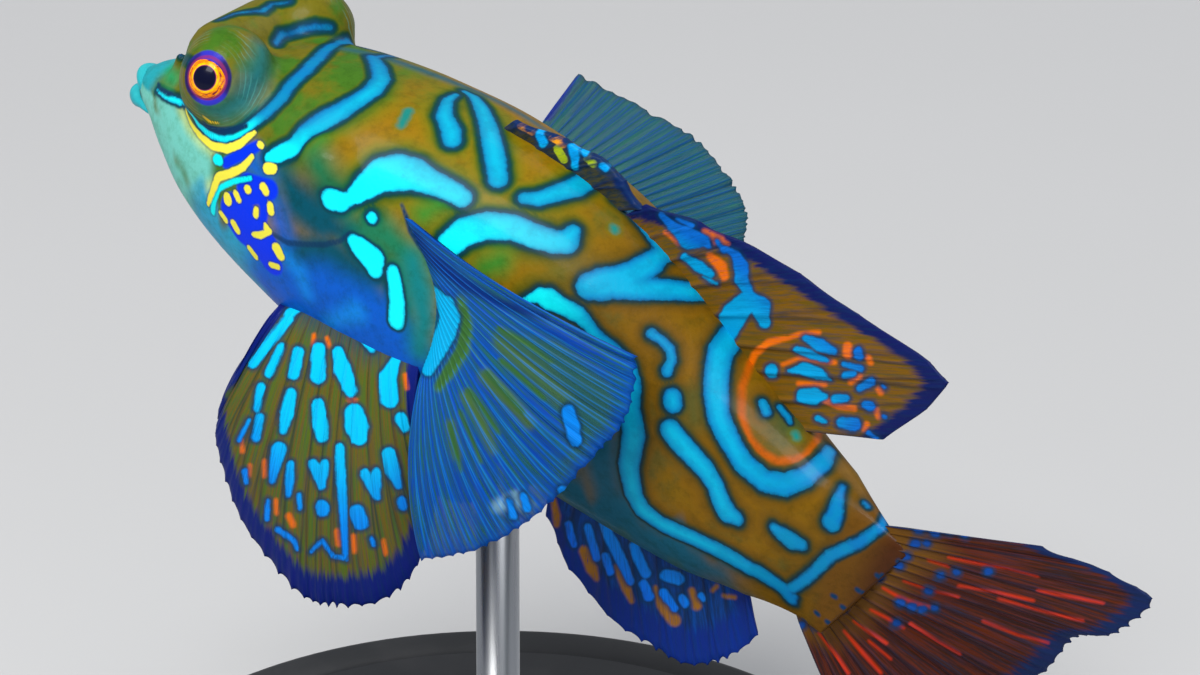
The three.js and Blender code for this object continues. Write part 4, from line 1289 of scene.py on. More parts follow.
PELVIC_SPOTS = (
    [(290, 319, 9), (271, 343, 9), (254, 364, 8)], [(282, 347, 8), (270, 373, 9)],
    [(290, 315, 9), (303, 305, 9), (319, 304, 9), (336, 313, 7), (352, 328, 6)],
    [(299, 352, 11), (295, 374, 11)], [(320, 349, 13), (319, 376, 15)],
    [(339, 352, 11), (344, 370, 17), (352, 390, 13)], [(397, 360, 9), (389, 377, 17), (391, 399, 17)],
    [(356, 330, 5), (373, 349, 7)], [(262, 387, 9), (258, 408, 7)],
    [(292, 393, 10), (288, 413, 14), (284, 430, 7)], [(319, 404, 12), (321, 420, 16), (323, 436, 12)],
    [(355, 413, 19), (358, 426, 24), (360, 436, 17)], [(402, 418, 12), (406, 427, 9)],
    [(261, 417, 8), (257, 437, 8)], [(280, 449, 15), (277, 461, 12), (273, 480, 6)],
    [(292, 463, 6), (291, 480, 8), (290, 494, 5)], [(314, 463, 9), (321, 475, 14), (323, 485, 8)],
    [(326, 463, 8), (322, 474, 13)], [(323, 506, 13), (324, 509, 13)],
    [(341, 447, 8), (342, 475, 9), (344, 508, 8), (346, 553, 5)],
    [(366, 473, 10), (374, 485, 13), (378, 496, 7)], [(377, 472, 9), (376, 484, 12)],
    [(390, 454, 14), (394, 470, 14), (399, 485, 7)], [(402, 500, 9), (403, 505, 9)],
    [(358, 511, 14), (362, 522, 14)], [(300, 495, 5), (301, 507, 5)], [(250, 420, 4), (240, 440, 4)],
    [(246, 470, 5), (247, 482, 4)], [(269, 500, 4), (268, 518, 5)],
    [(279, 528, 5), (295, 540, 5), (298, 548, 4)],
    [(312, 551, 3), (323, 540, 4), (334, 555, 4), (347, 558, 4)], [(372, 538, 5), (374, 543, 5)],
)
PELVIC_FLARES = (
    [(243, 440, 4), (244, 450, 5)], [(251, 465, 4), (250, 475, 4)], [(277, 500, 5), (278, 512, 5)],
    [(290, 515, 6), (294, 524, 6)], [(338, 530, 5), (340, 543, 6)], [(350, 399, 5), (356, 400, 6)],
    [(406, 375, 4), (408, 388, 4)], [(315, 335, 4), (314, 345, 4)], [(328, 338, 4), (330, 346, 4)],
    [(355, 535, 5), (356, 550, 5)], [(384, 540, 5), (386, 552, 5)], [(266, 460, 4), (266, 475, 4)],
)
PECTORAL_PATCHES = (
    [(430, 286, 8), (440, 296, 11)],
    [(447, 304, 17), (452, 318, 19), (447, 334, 20), (438, 352, 18), (430, 370, 12)],
    [(569, 411, 13), (573, 425, 15), (576, 440, 12)], [(563, 490, 10), (570, 496, 17), (574, 498, 14)],
    [(510, 500, 7), (514, 515, 8)], [(524, 496, 8), (528, 508, 8)],
)
PECTORAL_GREENS = (
    [(465, 310, 8), (467, 330, 10), (462, 350, 10), (448, 372, 9), (440, 385, 7)],
    [(500, 328, 5), (530, 345, 5), (552, 362, 4)], [(502, 360, 6), (524, 378, 6), (545, 398, 5)],
    [(488, 372, 6), (506, 392, 6), (524, 412, 5)], [(470, 390, 6), (484, 408, 6), (500, 432, 5)],
    [(462, 412, 6), (470, 430, 5), (482, 462, 4)], [(452, 425, 5), (456, 445, 5), (462, 470, 4)],
)
PECTORAL_FIRST_RAY = (
    ((0.0, 0.015, 0.24), 0.3, ([(578, 74, 5), (562, 95, 9), (546, 117, 11)],)),
)
SECOND_DORSAL_SPOTS = (
    [(662, 214, 7), (674, 226, 12), (690, 236, 12)], [(686, 256, 9), (700, 266, 14), (712, 274, 10)],
    [(678, 218, 5), (694, 226, 7)], [(718, 240, 6), (726, 250, 8)],
    [(726, 334, 24), (736, 314, 28), (748, 302, 24)], [(752, 298, 16), (762, 306, 22), (766, 322, 14)],
    [(671, 223, 8), (690, 238, 24), (705, 240, 14), (711, 246, 6)], [(693, 263, 5), (711, 271, 8)],
    [(704, 276, 4), (719, 283, 5)],
    [(725, 247, 7), (737, 254, 11), (742, 266, 17), (744, 280, 16), (750, 293, 12)],
    [(807, 338, 9), (822, 345, 15), (837, 351, 8)], [(799, 349, 9), (813, 354, 12), (828, 360, 7)],
    [(773, 369, 14), (774, 372, 14)], [(790, 370, 4), (806, 368, 15), (820, 373, 14), (832, 379, 5)],
    [(805, 395, 16), (815, 396, 20), (826, 396, 9)], [(837, 398, 11), (847, 398, 10)],
    [(860, 351, 11), (861, 356, 11)], [(845, 364, 7), (862, 368, 9)], [(847, 374, 9), (855, 373, 8)],
    [(861, 388, 9), (873, 381, 11)], [(867, 404, 9), (872, 406, 13)], [(884, 385, 6), (886, 387, 6)],
    [(885, 416, 6), (887, 417, 6)], [(843, 422, 13), (856, 424, 15)], [(819, 418, 8), (826, 421, 7)],
    [(870, 432, 6), (878, 438, 7)],
)
SECOND_DORSAL_FLARES = (
    [(706, 232, 6), (722, 240, 8)], [(712, 256, 8), (722, 266, 12), (726, 276, 8)],
    [(668, 232, 5), (680, 242, 6)], [(783, 340, 4), (800, 334, 5), (820, 332, 5)],
    [(748, 372, 6), (756, 354, 7), (770, 342, 7), (786, 338, 6)], [(849, 346, 9), (850, 354, 9)],
    [(870, 357, 6), (872, 362, 6)], [(852, 382, 5), (862, 376, 5)], [(880, 389, 6), (882, 392, 6)],
    [(878, 410, 6), (880, 416, 6)], [(868, 424, 6), (866, 428, 6)],
    [(828, 400, 6), (840, 406, 6), (856, 408, 6)], [(800, 383, 5), (826, 384, 5)],
    [(784, 364, 4), (800, 358, 4), (836, 362, 5)], [(718, 240, 8), (728, 243, 6)],
)
FIRST_DORSAL_ZONES = (
    ((0.85, 0.33, 0.004), 0.1, ([(523, 125, 6), (534, 130, 7)], [(554, 137, 7), (566, 143, 9)])),
    ((0.36, 0.48, 0.01), 0.1, ([(560, 149, 8), (566, 158, 8)], [(589, 156, 7), (596, 163, 8)])),
    ((0.003, 0.012, 0.1), 0.3, ([(622, 180, 12), (640, 196, 20), (652, 206, 16)],)),
)
FIRST_DORSAL_SPOTS = (
    [(541, 133, 8), (546, 142, 9)], [(575, 147, 9), (577, 156, 9), (578, 166, 6)],
    [(583, 147, 5), (587, 152, 5)], [(604, 165, 6), (608, 168, 6)],
)
ANAL_SPOTS = (
    [(570, 524, 8), (575, 543, 7)], [(589, 527, 8), (598, 557, 8)],
    [(605, 523, 9), (619, 553, 11), (632, 580, 9)], [(635, 546, 9), (647, 573, 10)],
    [(645, 583, 8), (650, 596, 10)], [(668, 575, 12), (680, 578, 13)], [(665, 592, 8), (676, 608, 7)],
    [(684, 598, 9), (687, 603, 8)], [(607, 555, 7), (612, 572, 6)], [(702, 595, 6), (705, 598, 6)],
)
ANAL_FLARES = (
    [(555, 500, 5), (558, 516, 8), (558, 524, 6)], [(585, 550, 10), (593, 568, 12), (598, 578, 6)],
    [(618, 567, 7), (628, 588, 10), (633, 600, 6)], [(657, 588, 6), (664, 604, 12), (676, 620, 12)],
    [(693, 590, 6), (698, 605, 10)], [(714, 590, 4), (718, 586, 4)], [(725, 595, 4), (736, 597, 4)],
)
CAUDAL_DOTS = tuple(
    [(x - 1, y, w), (x + 1, y, w)]
    for x, y, w in (
        (921, 529, 8), (926, 517, 7), (941, 521, 6), (949, 522, 6), (937, 532, 8), (951, 531, 6),
        (967, 535, 5), (917, 543, 7), (928, 543, 5), (908, 556, 6), (901, 565, 6), (879, 576, 8),
        (858, 590, 8), (851, 594, 6), (834, 596, 9), (843, 607, 7), (817, 613, 8), (802, 624, 6),
        (819, 625, 6), (942, 575, 6), (930, 590, 6), (958, 572, 5), (990, 571, 6), (936, 607, 5),
        (902, 602, 7), (914, 606, 7), (924, 608, 6), (898, 622, 6),
    )
)
CAUDAL_FLARES = (
    [(884, 587, 2), (900, 596, 3), (920, 604, 4), (935, 607, 2)],
    [(872, 609, 2), (888, 617, 3), (905, 627, 2)], [(855, 620, 2), (872, 632, 3), (888, 642, 2)],
    [(845, 630, 2), (864, 652, 4), (882, 672, 3)],
    [(950, 557, 2), (975, 562, 3), (1010, 568, 2), (1040, 576, 2)],
    [(820, 632, 2), (838, 655, 3), (850, 672, 2)], [(1040, 590, 2), (1080, 598, 3), (1105, 603, 2)],
    [(960, 585, 2), (1000, 592, 2), (1035, 600, 2)], [(905, 580, 2), (935, 590, 2), (960, 596, 2)],
    [(870, 640, 2), (892, 658, 2)], [(912, 622, 2), (940, 640, 2), (962, 652, 2)],
    [(930, 560, 2), (950, 566, 2)], [(985, 620, 2), (1020, 634, 2), (1050, 642, 2)],
    [(1000, 598, 2), (1050, 612, 2), (1085, 620, 2)],
)


# Each fin's colours, as tints or as names of settings, with the margin's width in millimetres, how opaque the
# webs are, and how far along the rays the root's colour goes
FIN_LOOKS = {
    "pectoral near": {
        "ground": (0.0, 0.055, 0.40), "streak": (0.015, 0.11, 0.09), "ray": (0.0, 0.21, 0.80),
        "margin": (0.0, 0.07, 0.40), "spot": (0.0, 0.38, 0.70), "outer_spot": (0.0, 0.20, 0.72),
        "flare": (0.035, 0.13, 0.02), "margin_width": 0.4, "opacity": 0.80,
    },
    "pectoral far": {
        "ground": (0.006, 0.09, 0.16), "streak": (0.012, 0.13, 0.10), "ray": (0.0, 0.025, 0.38),
        "margin": (0.008, 0.08, 0.12), "spot": (0.0, 0.3, 0.8), "outer_spot": (0.0, 0.3, 0.8),
        "flare": (0.03, 0.12, 0.03), "margin_width": 0.3, "opacity": 0.80,
    },
    "pelvic": {
        "ground": "fin_brown", "streak": (0.07, 0.12, 0.012), "ray": (0.04, 0.03, 0.01), "margin": "fin_navy",
        "spot": (0.0, 0.52, 0.88), "outer_spot": "fin_spot", "flare": "fin_orange", "margin_width": 1.9,
        "root": (0.012, 0.05, 0.10), "root_to": 0.06,
    },
    "dorsal": {
        "ground": (0.175, 0.080, 0.002), "streak": (0.12, 0.070, 0.004), "ray": (0.08, 0.04, 0.006),
        "margin": (0.004, 0.008, 0.085), "spot": (0.001, 0.30, 0.60), "outer_spot": (0.002, 0.13, 0.55),
        "flare": "fin_orange", "margin_width": 1.5,
    },
    "folded dorsal": {
        "ground": (0.05, 0.045, 0.014), "streak": (0.015, 0.025, 0.03), "ray": (0.006, 0.010, 0.05),
        "margin": (0.003, 0.02, 0.10), "spot": (0.0, 0.55, 0.80), "outer_spot": (0.0, 0.35, 0.85),
        "flare": (0.85, 0.45, 0.01), "margin_width": 0.3,
    },
    "anal": {
        "ground": (0.003, 0.028, 0.13), "streak": (0.002, 0.05, 0.26), "ray": (0.003, 0.006, 0.03),
        "margin": (0.002, 0.02, 0.20), "spot": (0.0, 0.20, 0.75), "outer_spot": (0.0, 0.14, 0.80),
        "flare": (0.32, 0.13, 0.006), "margin_width": 2.0,
    },
    "caudal": {
        "ground": "caudal_brown", "streak": (0.095, 0.015, 0.001), "ray": (0.012, 0.004, 0.003),
        "margin": (0.006, 0.014, 0.07), "spot": (0.004, 0.05, 0.26), "outer_spot": (0.004, 0.05, 0.30),
        "flare": "caudal_red", "margin_width": 1.2, "root": "tail_root", "root_to": 0.30,
    },
}

# Each fin's rays, grid and bow, with the rows that it has beyond the settings' number
PECTORAL_SHAPE = {"rays": 27, "notch": 0.012, "columns": 12, "rise": 0.16}
PELVIC_SHAPE = {"rays": 17, "notch": 0.022, "teeth": 2, "columns": 20, "edges": (3, 3), "more_rows": 12}
FIRST_DORSAL_SHAPE = {"rays": 5, "notch": 0.05, "columns": 40, "more_rows": -20, "membrane": 0.4}
SECOND_DORSAL_SHAPE = {"rays": 9, "notch": 0.02, "columns": 34, "more_rows": 30}
ANAL_SHAPE = {"rays": 9, "notch": 0.04, "teeth": 2, "columns": 30, "edges": (2, 2), "more_rows": 10}
CAUDAL_SHAPE = {"rays": 17, "notch": 0.02, "teeth": 2, "columns": 20, "more_rows": 30}

# A ray's ridge, as shares of the gap between two rays
RAY_HALF_WIDTH = 0.11
RAY_NARROWING = 0.03
RAY_PARTING = 0.20


def midline_points(points):
    """Places given as distance from the snout, height, and how far to the right."""
    p = np.array([(*q, 0.0)[:3] for q in points])
    return body_point(p[:, 0], p[:, 2], p[:, 1])


def root_points(places, sink=ROOT_SINK, mirror=1):
    """Places under the skin by a depth or by one depth each, given as distance from the snout and turn."""
    s, turn = np.array(places, float).T
    depth = np.broadcast_to(sink, s.shape)[:, None]
    return skin_point(s, turn * mirror) - skin_normal(s, turn * mirror) * depth


def fin_sheet(base, tips, rays, columns, rows, notch, cup=0.0, lift=0.0, membrane=0.2, rise=0.3, ripple=0.12,
              fork=0.45, edges=(99, 99), teeth=1):
    """A fin's middle sheet and half thickness, on a grid of u across the rays and v out along them. edges
    tell how much farther than at the tips the first and last rays count from the free edge.
    Place: root + (tip - root) v, the margin falling back by notch between rays, bowed by cup and lift, and
    rippled.
    Thickness: the membrane, plus a ridge at each ray that parts in two past fork and thins to the tip."""
    u = np.linspace(0, 1, (rays - 1) * columns + 1)
    v = np.linspace(0, 1, rows)[None, :]
    root, tip = smooth_curve(base, u)[:, None], smooth_curve(tips, u)[:, None]
    q = (u * (rays - 1))[:, None]
    dip = np.abs(np.sin(math.pi * teeth * q)) ** 0.7 * (0.7 + 0.3 * np.sin(q * 2.3))
    reach = (v * (1 - notch * dip * v))[..., None]
    middle = smooth_curve(base, np.array([0.5]))[0]
    facing = np.cross(tips[-1] - middle, tips[0] - middle)
    facing /= np.linalg.norm(facing)
    bow = cup * np.sin(math.pi * v / 2) * np.sin(math.pi * u)[:, None] + lift * 4 * v * (1 - v)
    wave = ripple * v**1.5 * np.sin(2 * math.pi * (q / 2 + 0.6 * np.sin(q * 0.7)))
    wave = wave * (0.6 + 0.4 * np.sin(q * 1.3))
    place = root + (tip - root) * reach + facing * (bow + wave)[..., None]
    off = (q - np.round(q)) * np.ones_like(v)
    part = RAY_PARTING * np.clip((v - fork) / (1 - fork), 0, 1) * np.ones_like(q)
    wide = RAY_HALF_WIDTH - RAY_NARROWING * v
    rib = np.maximum(np.exp(-(((off - part) / wide) ** 2)), np.exp(-(((off + part) / wide) ** 2)))
    half = (membrane + rise * rib * (1 - 0.7 * v) * smoothstep(v, 0.02, 0.2)) / 2
    half = half * (0.55 + 0.45 * smoothstep(1 - v, 0.0, 0.05))
    normal = np.cross(np.gradient(place, axis=0), np.gradient(place, axis=1))
    normal /= np.linalg.norm(normal, axis=-1, keepdims=True) + 1e-12
    out = np.linalg.norm(tip - root, axis=-1) * (1 - v)
    steps = np.linalg.norm(np.diff(place, axis=0), axis=-1)
    ahead = np.concatenate([np.zeros((1, rows)), np.cumsum(steps, 0)])
    free = np.minimum(out, np.minimum(ahead * edges[0], (ahead[-1] - ahead) * edges[1]))
    values = {"across": q * np.ones_like(v) / 8.0, "along": v * np.ones_like(q), "rib": rib, "free": free}
    return place, normal, half, values


def sheet_piece(name, place, normal, half, values, colours):
    """A closed plate from a middle sheet: place + normal * half on one side, place - normal * half on the
    other, and a wall of quads round the edge. In the UV map the sides lie beside each other and the wall
    above them."""
    nu, nv = place.shape[:2]
    thick = normal * half[..., None]
    points = np.concatenate([(place + thick).reshape(-1, 3), (place - thick).reshape(-1, 3)])
    i, j = np.meshgrid(np.arange(nu - 1), np.arange(nv - 1), indexing="ij")
    corners = (i * nv + j, (i + 1) * nv + j, (i + 1) * nv + j + 1, i * nv + j + 1)
    top = np.stack(corners, -1).reshape(-1, 4)
    other = nu * nv
    first, last = np.arange(nu) * nv, (nu - 1) * nv + np.arange(1, nv)
    edge = np.concatenate([first, last, np.arange(nu - 1)[::-1] * nv + nv - 1, np.arange(nv - 1)[::-1][:-1]])
    after = np.roll(edge, -1)
    wall = np.stack([edge + other, after + other, after, edge], -1)
    quads = np.concatenate([top, top[:, ::-1] + other, wall])
    u = np.stack([i, i + 1, i + 1, i], -1).reshape(-1, 4) / (nu - 1)
    v = np.stack([j, j, j + 1, j + 1], -1).reshape(-1, 4) / (nv - 1)
    front = np.stack([0.01 + 0.46 * u, 0.02 + 0.94 * v], -1)
    back = np.stack([0.51 + 0.46 * u, 0.02 + 0.94 * v], -1)[:, ::-1]
    strip = np.linspace(0.01, 0.98, len(edge) + 1)
    start, end = strip[:-1], strip[1:]
    low, high = np.full(len(edge), 0.985), np.full(len(edge), 0.998)
    walls = np.stack([np.stack(c, -1) for c in ((start, low), (end, low), (end, high), (start, high))], 1)
    twice = {k: np.tile(x.reshape(-1), 2) for k, x in values.items()}
    tints = {k: np.tile(x.reshape(-1, 3), (2, 1)) for k, x in colours.items()}
    return add_mesh(name, to_row(points), quads, np.concatenate([front, back, walls]), None, twice, tints)


def fin_marks(place, spots, flares, zones, shrink):
    """Signed distances on a fin's sheet to its spots and flares as the camera sees them, and its zones'
    colours."""
    row = to_row(place).reshape(-1, 3)
    shape = place.shape[:2]

    def measure(strokes):
        return picture_distance(row, strokes).reshape(shape) if strokes else np.full(shape, FAR)

    shares = [(tone, smoothstep(-measure(strokes), -soft, soft)) for tone, soft, strokes in zones]
    zone, colour = blend_zones(shape, shares)
    return {"spot": measure(spots) + shrink, "flare": measure(flares), "zone": zone}, {"zone_colour": colour}


def make_fin(name, slot, material, rows, spots=(), flares=(), zones=(), marks=None, clear_from=None,
             shrink=0.0, more_rows=0, **shape):
    """A dressed fin in place of the frame's plain one; gives its marks for a twin on the other flank.
    clear_from is how far along the rays its webs start and end to turn clear."""
    place, normal, half, values = fin_sheet(rows=rows + more_rows, **shape)
    marks = marks or fin_marks(place, spots, flares, zones, shrink)
    values = {**values, **marks[0]}
    values["thin"] = np.ones(half.shape) if clear_from is None else smoothstep(values["along"], *clear_from)
    wear(sheet_piece(name + "_sheet", place, normal, half, values, marks[1]), material, slot, name)
    return marks


# Settings, operators and panel


def tint(name, colour, description):
    """A colour that the panel's user may change."""
    return FloatVectorProperty(
        name=name, description=description, subtype="COLOR", size=3, min=0, max=1, default=colour
    )


def size(name, millimetres, description):
    """A length that the panel's user may change."""
    return FloatProperty(name=name, description=description, unit="LENGTH", default=millimetres * MM, min=0)


class FishSettings(bpy.types.PropertyGroup):
    """Colours and sizes that a user may change before the pieces are built."""

    cyan: tint("Chin rim", (0.0, 0.78, 0.80), "Pale line round the chin patch, and the throat's dot")
    band_deep: tint("Band shade", (0.0, 0.22, 0.40), "Mottling inside the bands")
    shade: tint("Grain", (0.30, 0.42, 0.20), "Darker grain of the ground colours")
    navy: tint("Outline navy", (0.002, 0.03, 0.09), "Outline round marks and spots")
    olive: tint("Flank olive", (0.10, 0.15, 0.006), "Moss on the front ground patches")
    head_green: tint("Head green", (0.05, 0.15, 0.01), "Ground colour of the head")
    head_olive: tint("Head olive", (0.15, 0.13, 0.006), "Warmer patches on the head")
    operculum: tint("Gill cover teal", (0.0, 0.07, 0.11), "Gill cover behind the chin")
    belly_blue: tint("Belly blue", (0.0, 0.10, 0.55), "Underside before the pelvic fins")
    dome_teal: tint("Dome teal", (0.02, 0.19, 0.21), "Back and underside of the eye mounds")
    snout_green: tint("Snout green", (0.008, 0.34, 0.12), "Snout between the lips and the eyes")
    cover_green: tint("Gill cover green", (0.012, 0.15, 0.06), "Upper part of the gill cover")
    base_green: tint("Fin base green", (0.004, 0.19, 0.20), "Fleshy base of the pectoral fins")
    throat_edge: tint("Throat edge", (0.02, 0.34, 0.55), "Underside between the throat and the belly")
    tail_root: tint("Tail root", (0.12, 0.05, 0.004), "Skin and rays at the root of the tail fin")
    tail_end: tint("Tail end", (0.055, 0.016, 0.004), "Skin where the tail fin's rays begin")
    # Also used for the bands on the top of the head, where it is painted shade.
    tail_blue: tint("Tail band", (0.001, 0.14, 0.40), "Bands next to the tail fin")
    leaf: tint("Leaf green", (0.03, 0.21, 0.02), "Green hearts of the front ground patches")
    dull_olive: tint("Dull olive", (0.055, 0.075, 0.018), "Hearts of the rear ground patches")
    shoulder_green: tint("Shoulder green", (0.012, 0.17, 0.08), "Ground round the pectoral fin's root")
    bright_blue: tint("Bright blue", (0.002, 0.22, 0.72), "Brighter streaks of the belly")
    belly_teal: tint("Belly teal", (0.008, 0.085, 0.14), "Underside of the tail stalk")
    throat_gold: tint("Throat gold", (0.55, 0.68, 0.24), "Throat next to its yellow lines")
    nape_teal: tint("Nape teal", (0.015, 0.10, 0.14), "Ridge of the back behind the head")
    belly_olive: tint("Belly olive", (0.03, 0.08, 0.05), "Middle of the underside")
    throat: tint("Throat turquoise", (0.16, 0.55, 0.47), "Throat under the mouth")
    chin_blue: tint("Chin blue", (0.0, 0.03, 0.75), "Chin patch that holds the yellow spots")
    yellow: tint("Chin yellow", (0.80, 0.72, 0.06), "Yellow lines and spots on the throat and chin")
    teal: tint("Dot teal", (0.01, 0.20, 0.17), "Small teal dots on the flank")
    ring: tint("Eye-spot orange", (0.45, 0.085, 0.001), "Ring of the eye-spot on the tail stalk")
    lid_violet: tint("Lid violet", (0.03, 0.03, 0.45), "Rim round each eye")
    lid_dark: tint("Lid dark", (0.02, 0.012, 0.09), "Darker parts of each eye's rim")
    dome_line: tint("Dome line", (0.10, 0.50, 0.45), "Fine rings on the eye mounds")
    lid_red: tint("Lid red", (0.25, 0.02, 0.12), "Inner edge of each eye's rim")
    iris_gold: tint("Iris gold", (1.0, 0.58, 0.0), "Ring next to the pupil")
    iris_orange: tint("Iris orange", (0.92, 0.22, 0.0), "Flecks of the iris")
    iris_red: tint("Iris red", (0.16, 0.01, 0.03), "Dark ground of the iris")
    lip: tint("Lip turquoise", (0.015, 0.34, 0.40), "Both lips, and the skin next to them")
    lip_pale: tint("Lip pale", (0.03, 0.46, 0.50), "Paler mottle of the lips")
    # Painted shade in the mouth's gap between the lips.
    mouth: tint("Mouth dark", (0.005, 0.02, 0.03), "Inside of the mouth's line")
    fin_spot: tint("Fin spot", (0.0, 0.21, 0.80), "Outer spots of the pelvic fins")
    fin_navy: tint("Fin navy", (0.003, 0.010, 0.15), "Dark margin of the pelvic fins")
    fin_brown: tint("Fin brown", (0.13, 0.09, 0.010), "Ground colour of the pelvic fins")
    fin_orange: tint("Fin orange", (0.75, 0.14, 0.0), "Orange flecks on the pelvic and second dorsal fins")
    caudal_brown: tint("Tail brown", (0.035, 0.010, 0.004), "Ground colour of the tail fin")
    caudal_red: tint("Tail red", (0.60, 0.03, 0.0), "Red streaks on the tail fin")
    eye_radius: size("Eye radius", EYE_RADIUS, "Half the width of each eyeball")
    lip_radius: size("Lip radius", LIP_RADIUS, "Half the thickness of each lip at the front")
    base_radius: size("Base radius", BASE_RADIUS, "Half the width of the round base")
    rod_radius: size("Rod radius", ROD_RADIUS, "Half the thickness of the rod")
    floor_tone: FloatProperty(name="Floor", description="Brightness of the floor", default=0.56, min=0, max=1)
    fin_rows: IntProperty(name="Fin rows", description="Steps along each ray", default=60, min=30, max=200)


def settings():
    """The scene's fish settings."""
    return bpy.context.scene.fish


def dressed_fin(name, slot, look_name, **shape):
    """A fin with its colours from FIN_LOOKS, in the settings' number of rows; gives its material and its
    marks."""
    look = settings()
    colours = {k: getattr(look, v) if isinstance(v, str) else v for k, v in FIN_LOOKS[look_name].items()}
    material = fin_material(look_name, look, **colours)
    return material, make_fin(name, slot, material, look.fin_rows, **shape)


class FISH_OT_skin(bpy.types.Operator):
    """Builds the painted skin of head, trunk and tail"""

    bl_idname = "fish.skin"
    bl_label = "Skin"

    def execute(self, context):
        make_skin(settings())
        return {"FINISHED"}


class FISH_OT_eyes(bpy.types.Operator):
    """Builds both eyes"""

    bl_idname = "fish.eyes"
    bl_label = "Eyes"

    def execute(self, context):
        look = settings()
        material = eye_material(look)
        for name, hand in (("eye_left", -1), ("eye_right", 1)):
            make_eye(name, hand, material, look.eye_radius / MM)
        return {"FINISHED"}


class FISH_OT_lips(bpy.types.Operator):
    """Builds both lips"""

    bl_idname = "fish.lips"
    bl_label = "Lips"

    def execute(self, context):
        look = settings()
        material = lip_material(look)
        for name, hand in (("lip_upper", 1), ("lip_lower", -1)):
            make_lip(name, hand, material, look.lip_radius / MM)
        return {"FINISHED"}


class FISH_OT_paired_fins(bpy.types.Operator):
    """Builds the pectoral and pelvic fins"""

    bl_idname = "fish.paired_fins"
    bl_label = "Paired fins"

    def execute(self, context):
        dressed_fin("pectoral_fin_left", "pectoral", "pectoral near", spots=PECTORAL_PATCHES,
                    flares=PECTORAL_GREENS, zones=PECTORAL_ZONES, clear_from=(0.3, 0.8), cup=0.5, lift=1.3,
                    base=root_points(PECTORAL_ROOT, PECTORAL_SINK), tips=np.array(PECTORAL_LEFT_TIPS),
                    **PECTORAL_SHAPE)
        dressed_fin("pectoral_fin_right", "pectoral", "pectoral far", zones=PECTORAL_FIRST_RAY, cup=-0.8,
                    base=root_points(PECTORAL_ROOT, mirror=-1), tips=np.array(PECTORAL_RIGHT_TIPS),
                    **PECTORAL_SHAPE)
        material, marks = dressed_fin("pelvic_fin_left", "pelvic", "pelvic", spots=PELVIC_SPOTS,
                                      flares=PELVIC_FLARES, cup=0.6, lift=-1.3,
                                      base=root_points(PELVIC_ROOT, PELVIC_SINK), tips=np.array(PELVIC_TIPS),
                                      **PELVIC_SHAPE)
        across = np.array(PELVIC_TIPS) * (1, -1, 1) + PELVIC_RIGHT_SHIFT
        make_fin("pelvic_fin_right", "pelvic", material, settings().fin_rows, marks=marks, cup=-0.6, lift=1.3,
                 base=root_points(PELVIC_ROOT, PELVIC_SINK, -1), tips=across, **PELVIC_SHAPE)
        return {"FINISHED"}


class FISH_OT_median_fins(bpy.types.Operator):
    """Builds the dorsal, anal and tail fins"""

    bl_idname = "fish.median_fins"
    bl_label = "Median fins"

    def execute(self, context):
        dressed_fin("dorsal_fin_first", "dorsal", "folded dorsal", spots=FIRST_DORSAL_SPOTS,
                    zones=FIRST_DORSAL_ZONES, base=root_points(FIRST_DORSAL_ROOT),
                    tips=midline_points(FIRST_DORSAL_TIPS), **FIRST_DORSAL_SHAPE)
        dressed_fin("dorsal_fin_second", "dorsal", "dorsal", spots=SECOND_DORSAL_SPOTS,
                    flares=SECOND_DORSAL_FLARES, shrink=0.07, base=root_points(SECOND_DORSAL_ROOT),
                    tips=midline_points(SECOND_DORSAL_TIPS), **SECOND_DORSAL_SHAPE)
        dressed_fin("anal_fin", "anal", "anal", spots=ANAL_SPOTS, flares=ANAL_FLARES,
                    base=root_points(ANAL_ROOT), tips=midline_points(ANAL_TIPS), **ANAL_SHAPE)
        dressed_fin("caudal_fin", "caudal", "caudal", spots=CAUDAL_DOTS, flares=CAUDAL_FLARES,
                    base=midline_points(CAUDAL_ROOT), tips=midline_points(CAUDAL_TIPS), **CAUDAL_SHAPE)
        return {"FINISHED"}


# The stand's details, in millimetres: radii counted in from the base's edge, heights down from its top
AXIS = 0.01
FOOT_CHAMFER = 0.4
BEAD_RADIUS = 1.0
GROOVE_AT = 3.2
GROOVE_HALF_WIDTH = 0.2
GROOVE_DEPTH = 0.12
COLLAR_WIDER = 1.9
COLLAR_TOP_WIDER = 1.75
COLLAR_SIDE = 1.2
COLLAR_SHOULDER = 1.45
COLLAR_HEIGHT = 1.5
ROD_TOP_GAP = 0.4
ROD_TOP_CHAMFER = (0.12, 0.1)


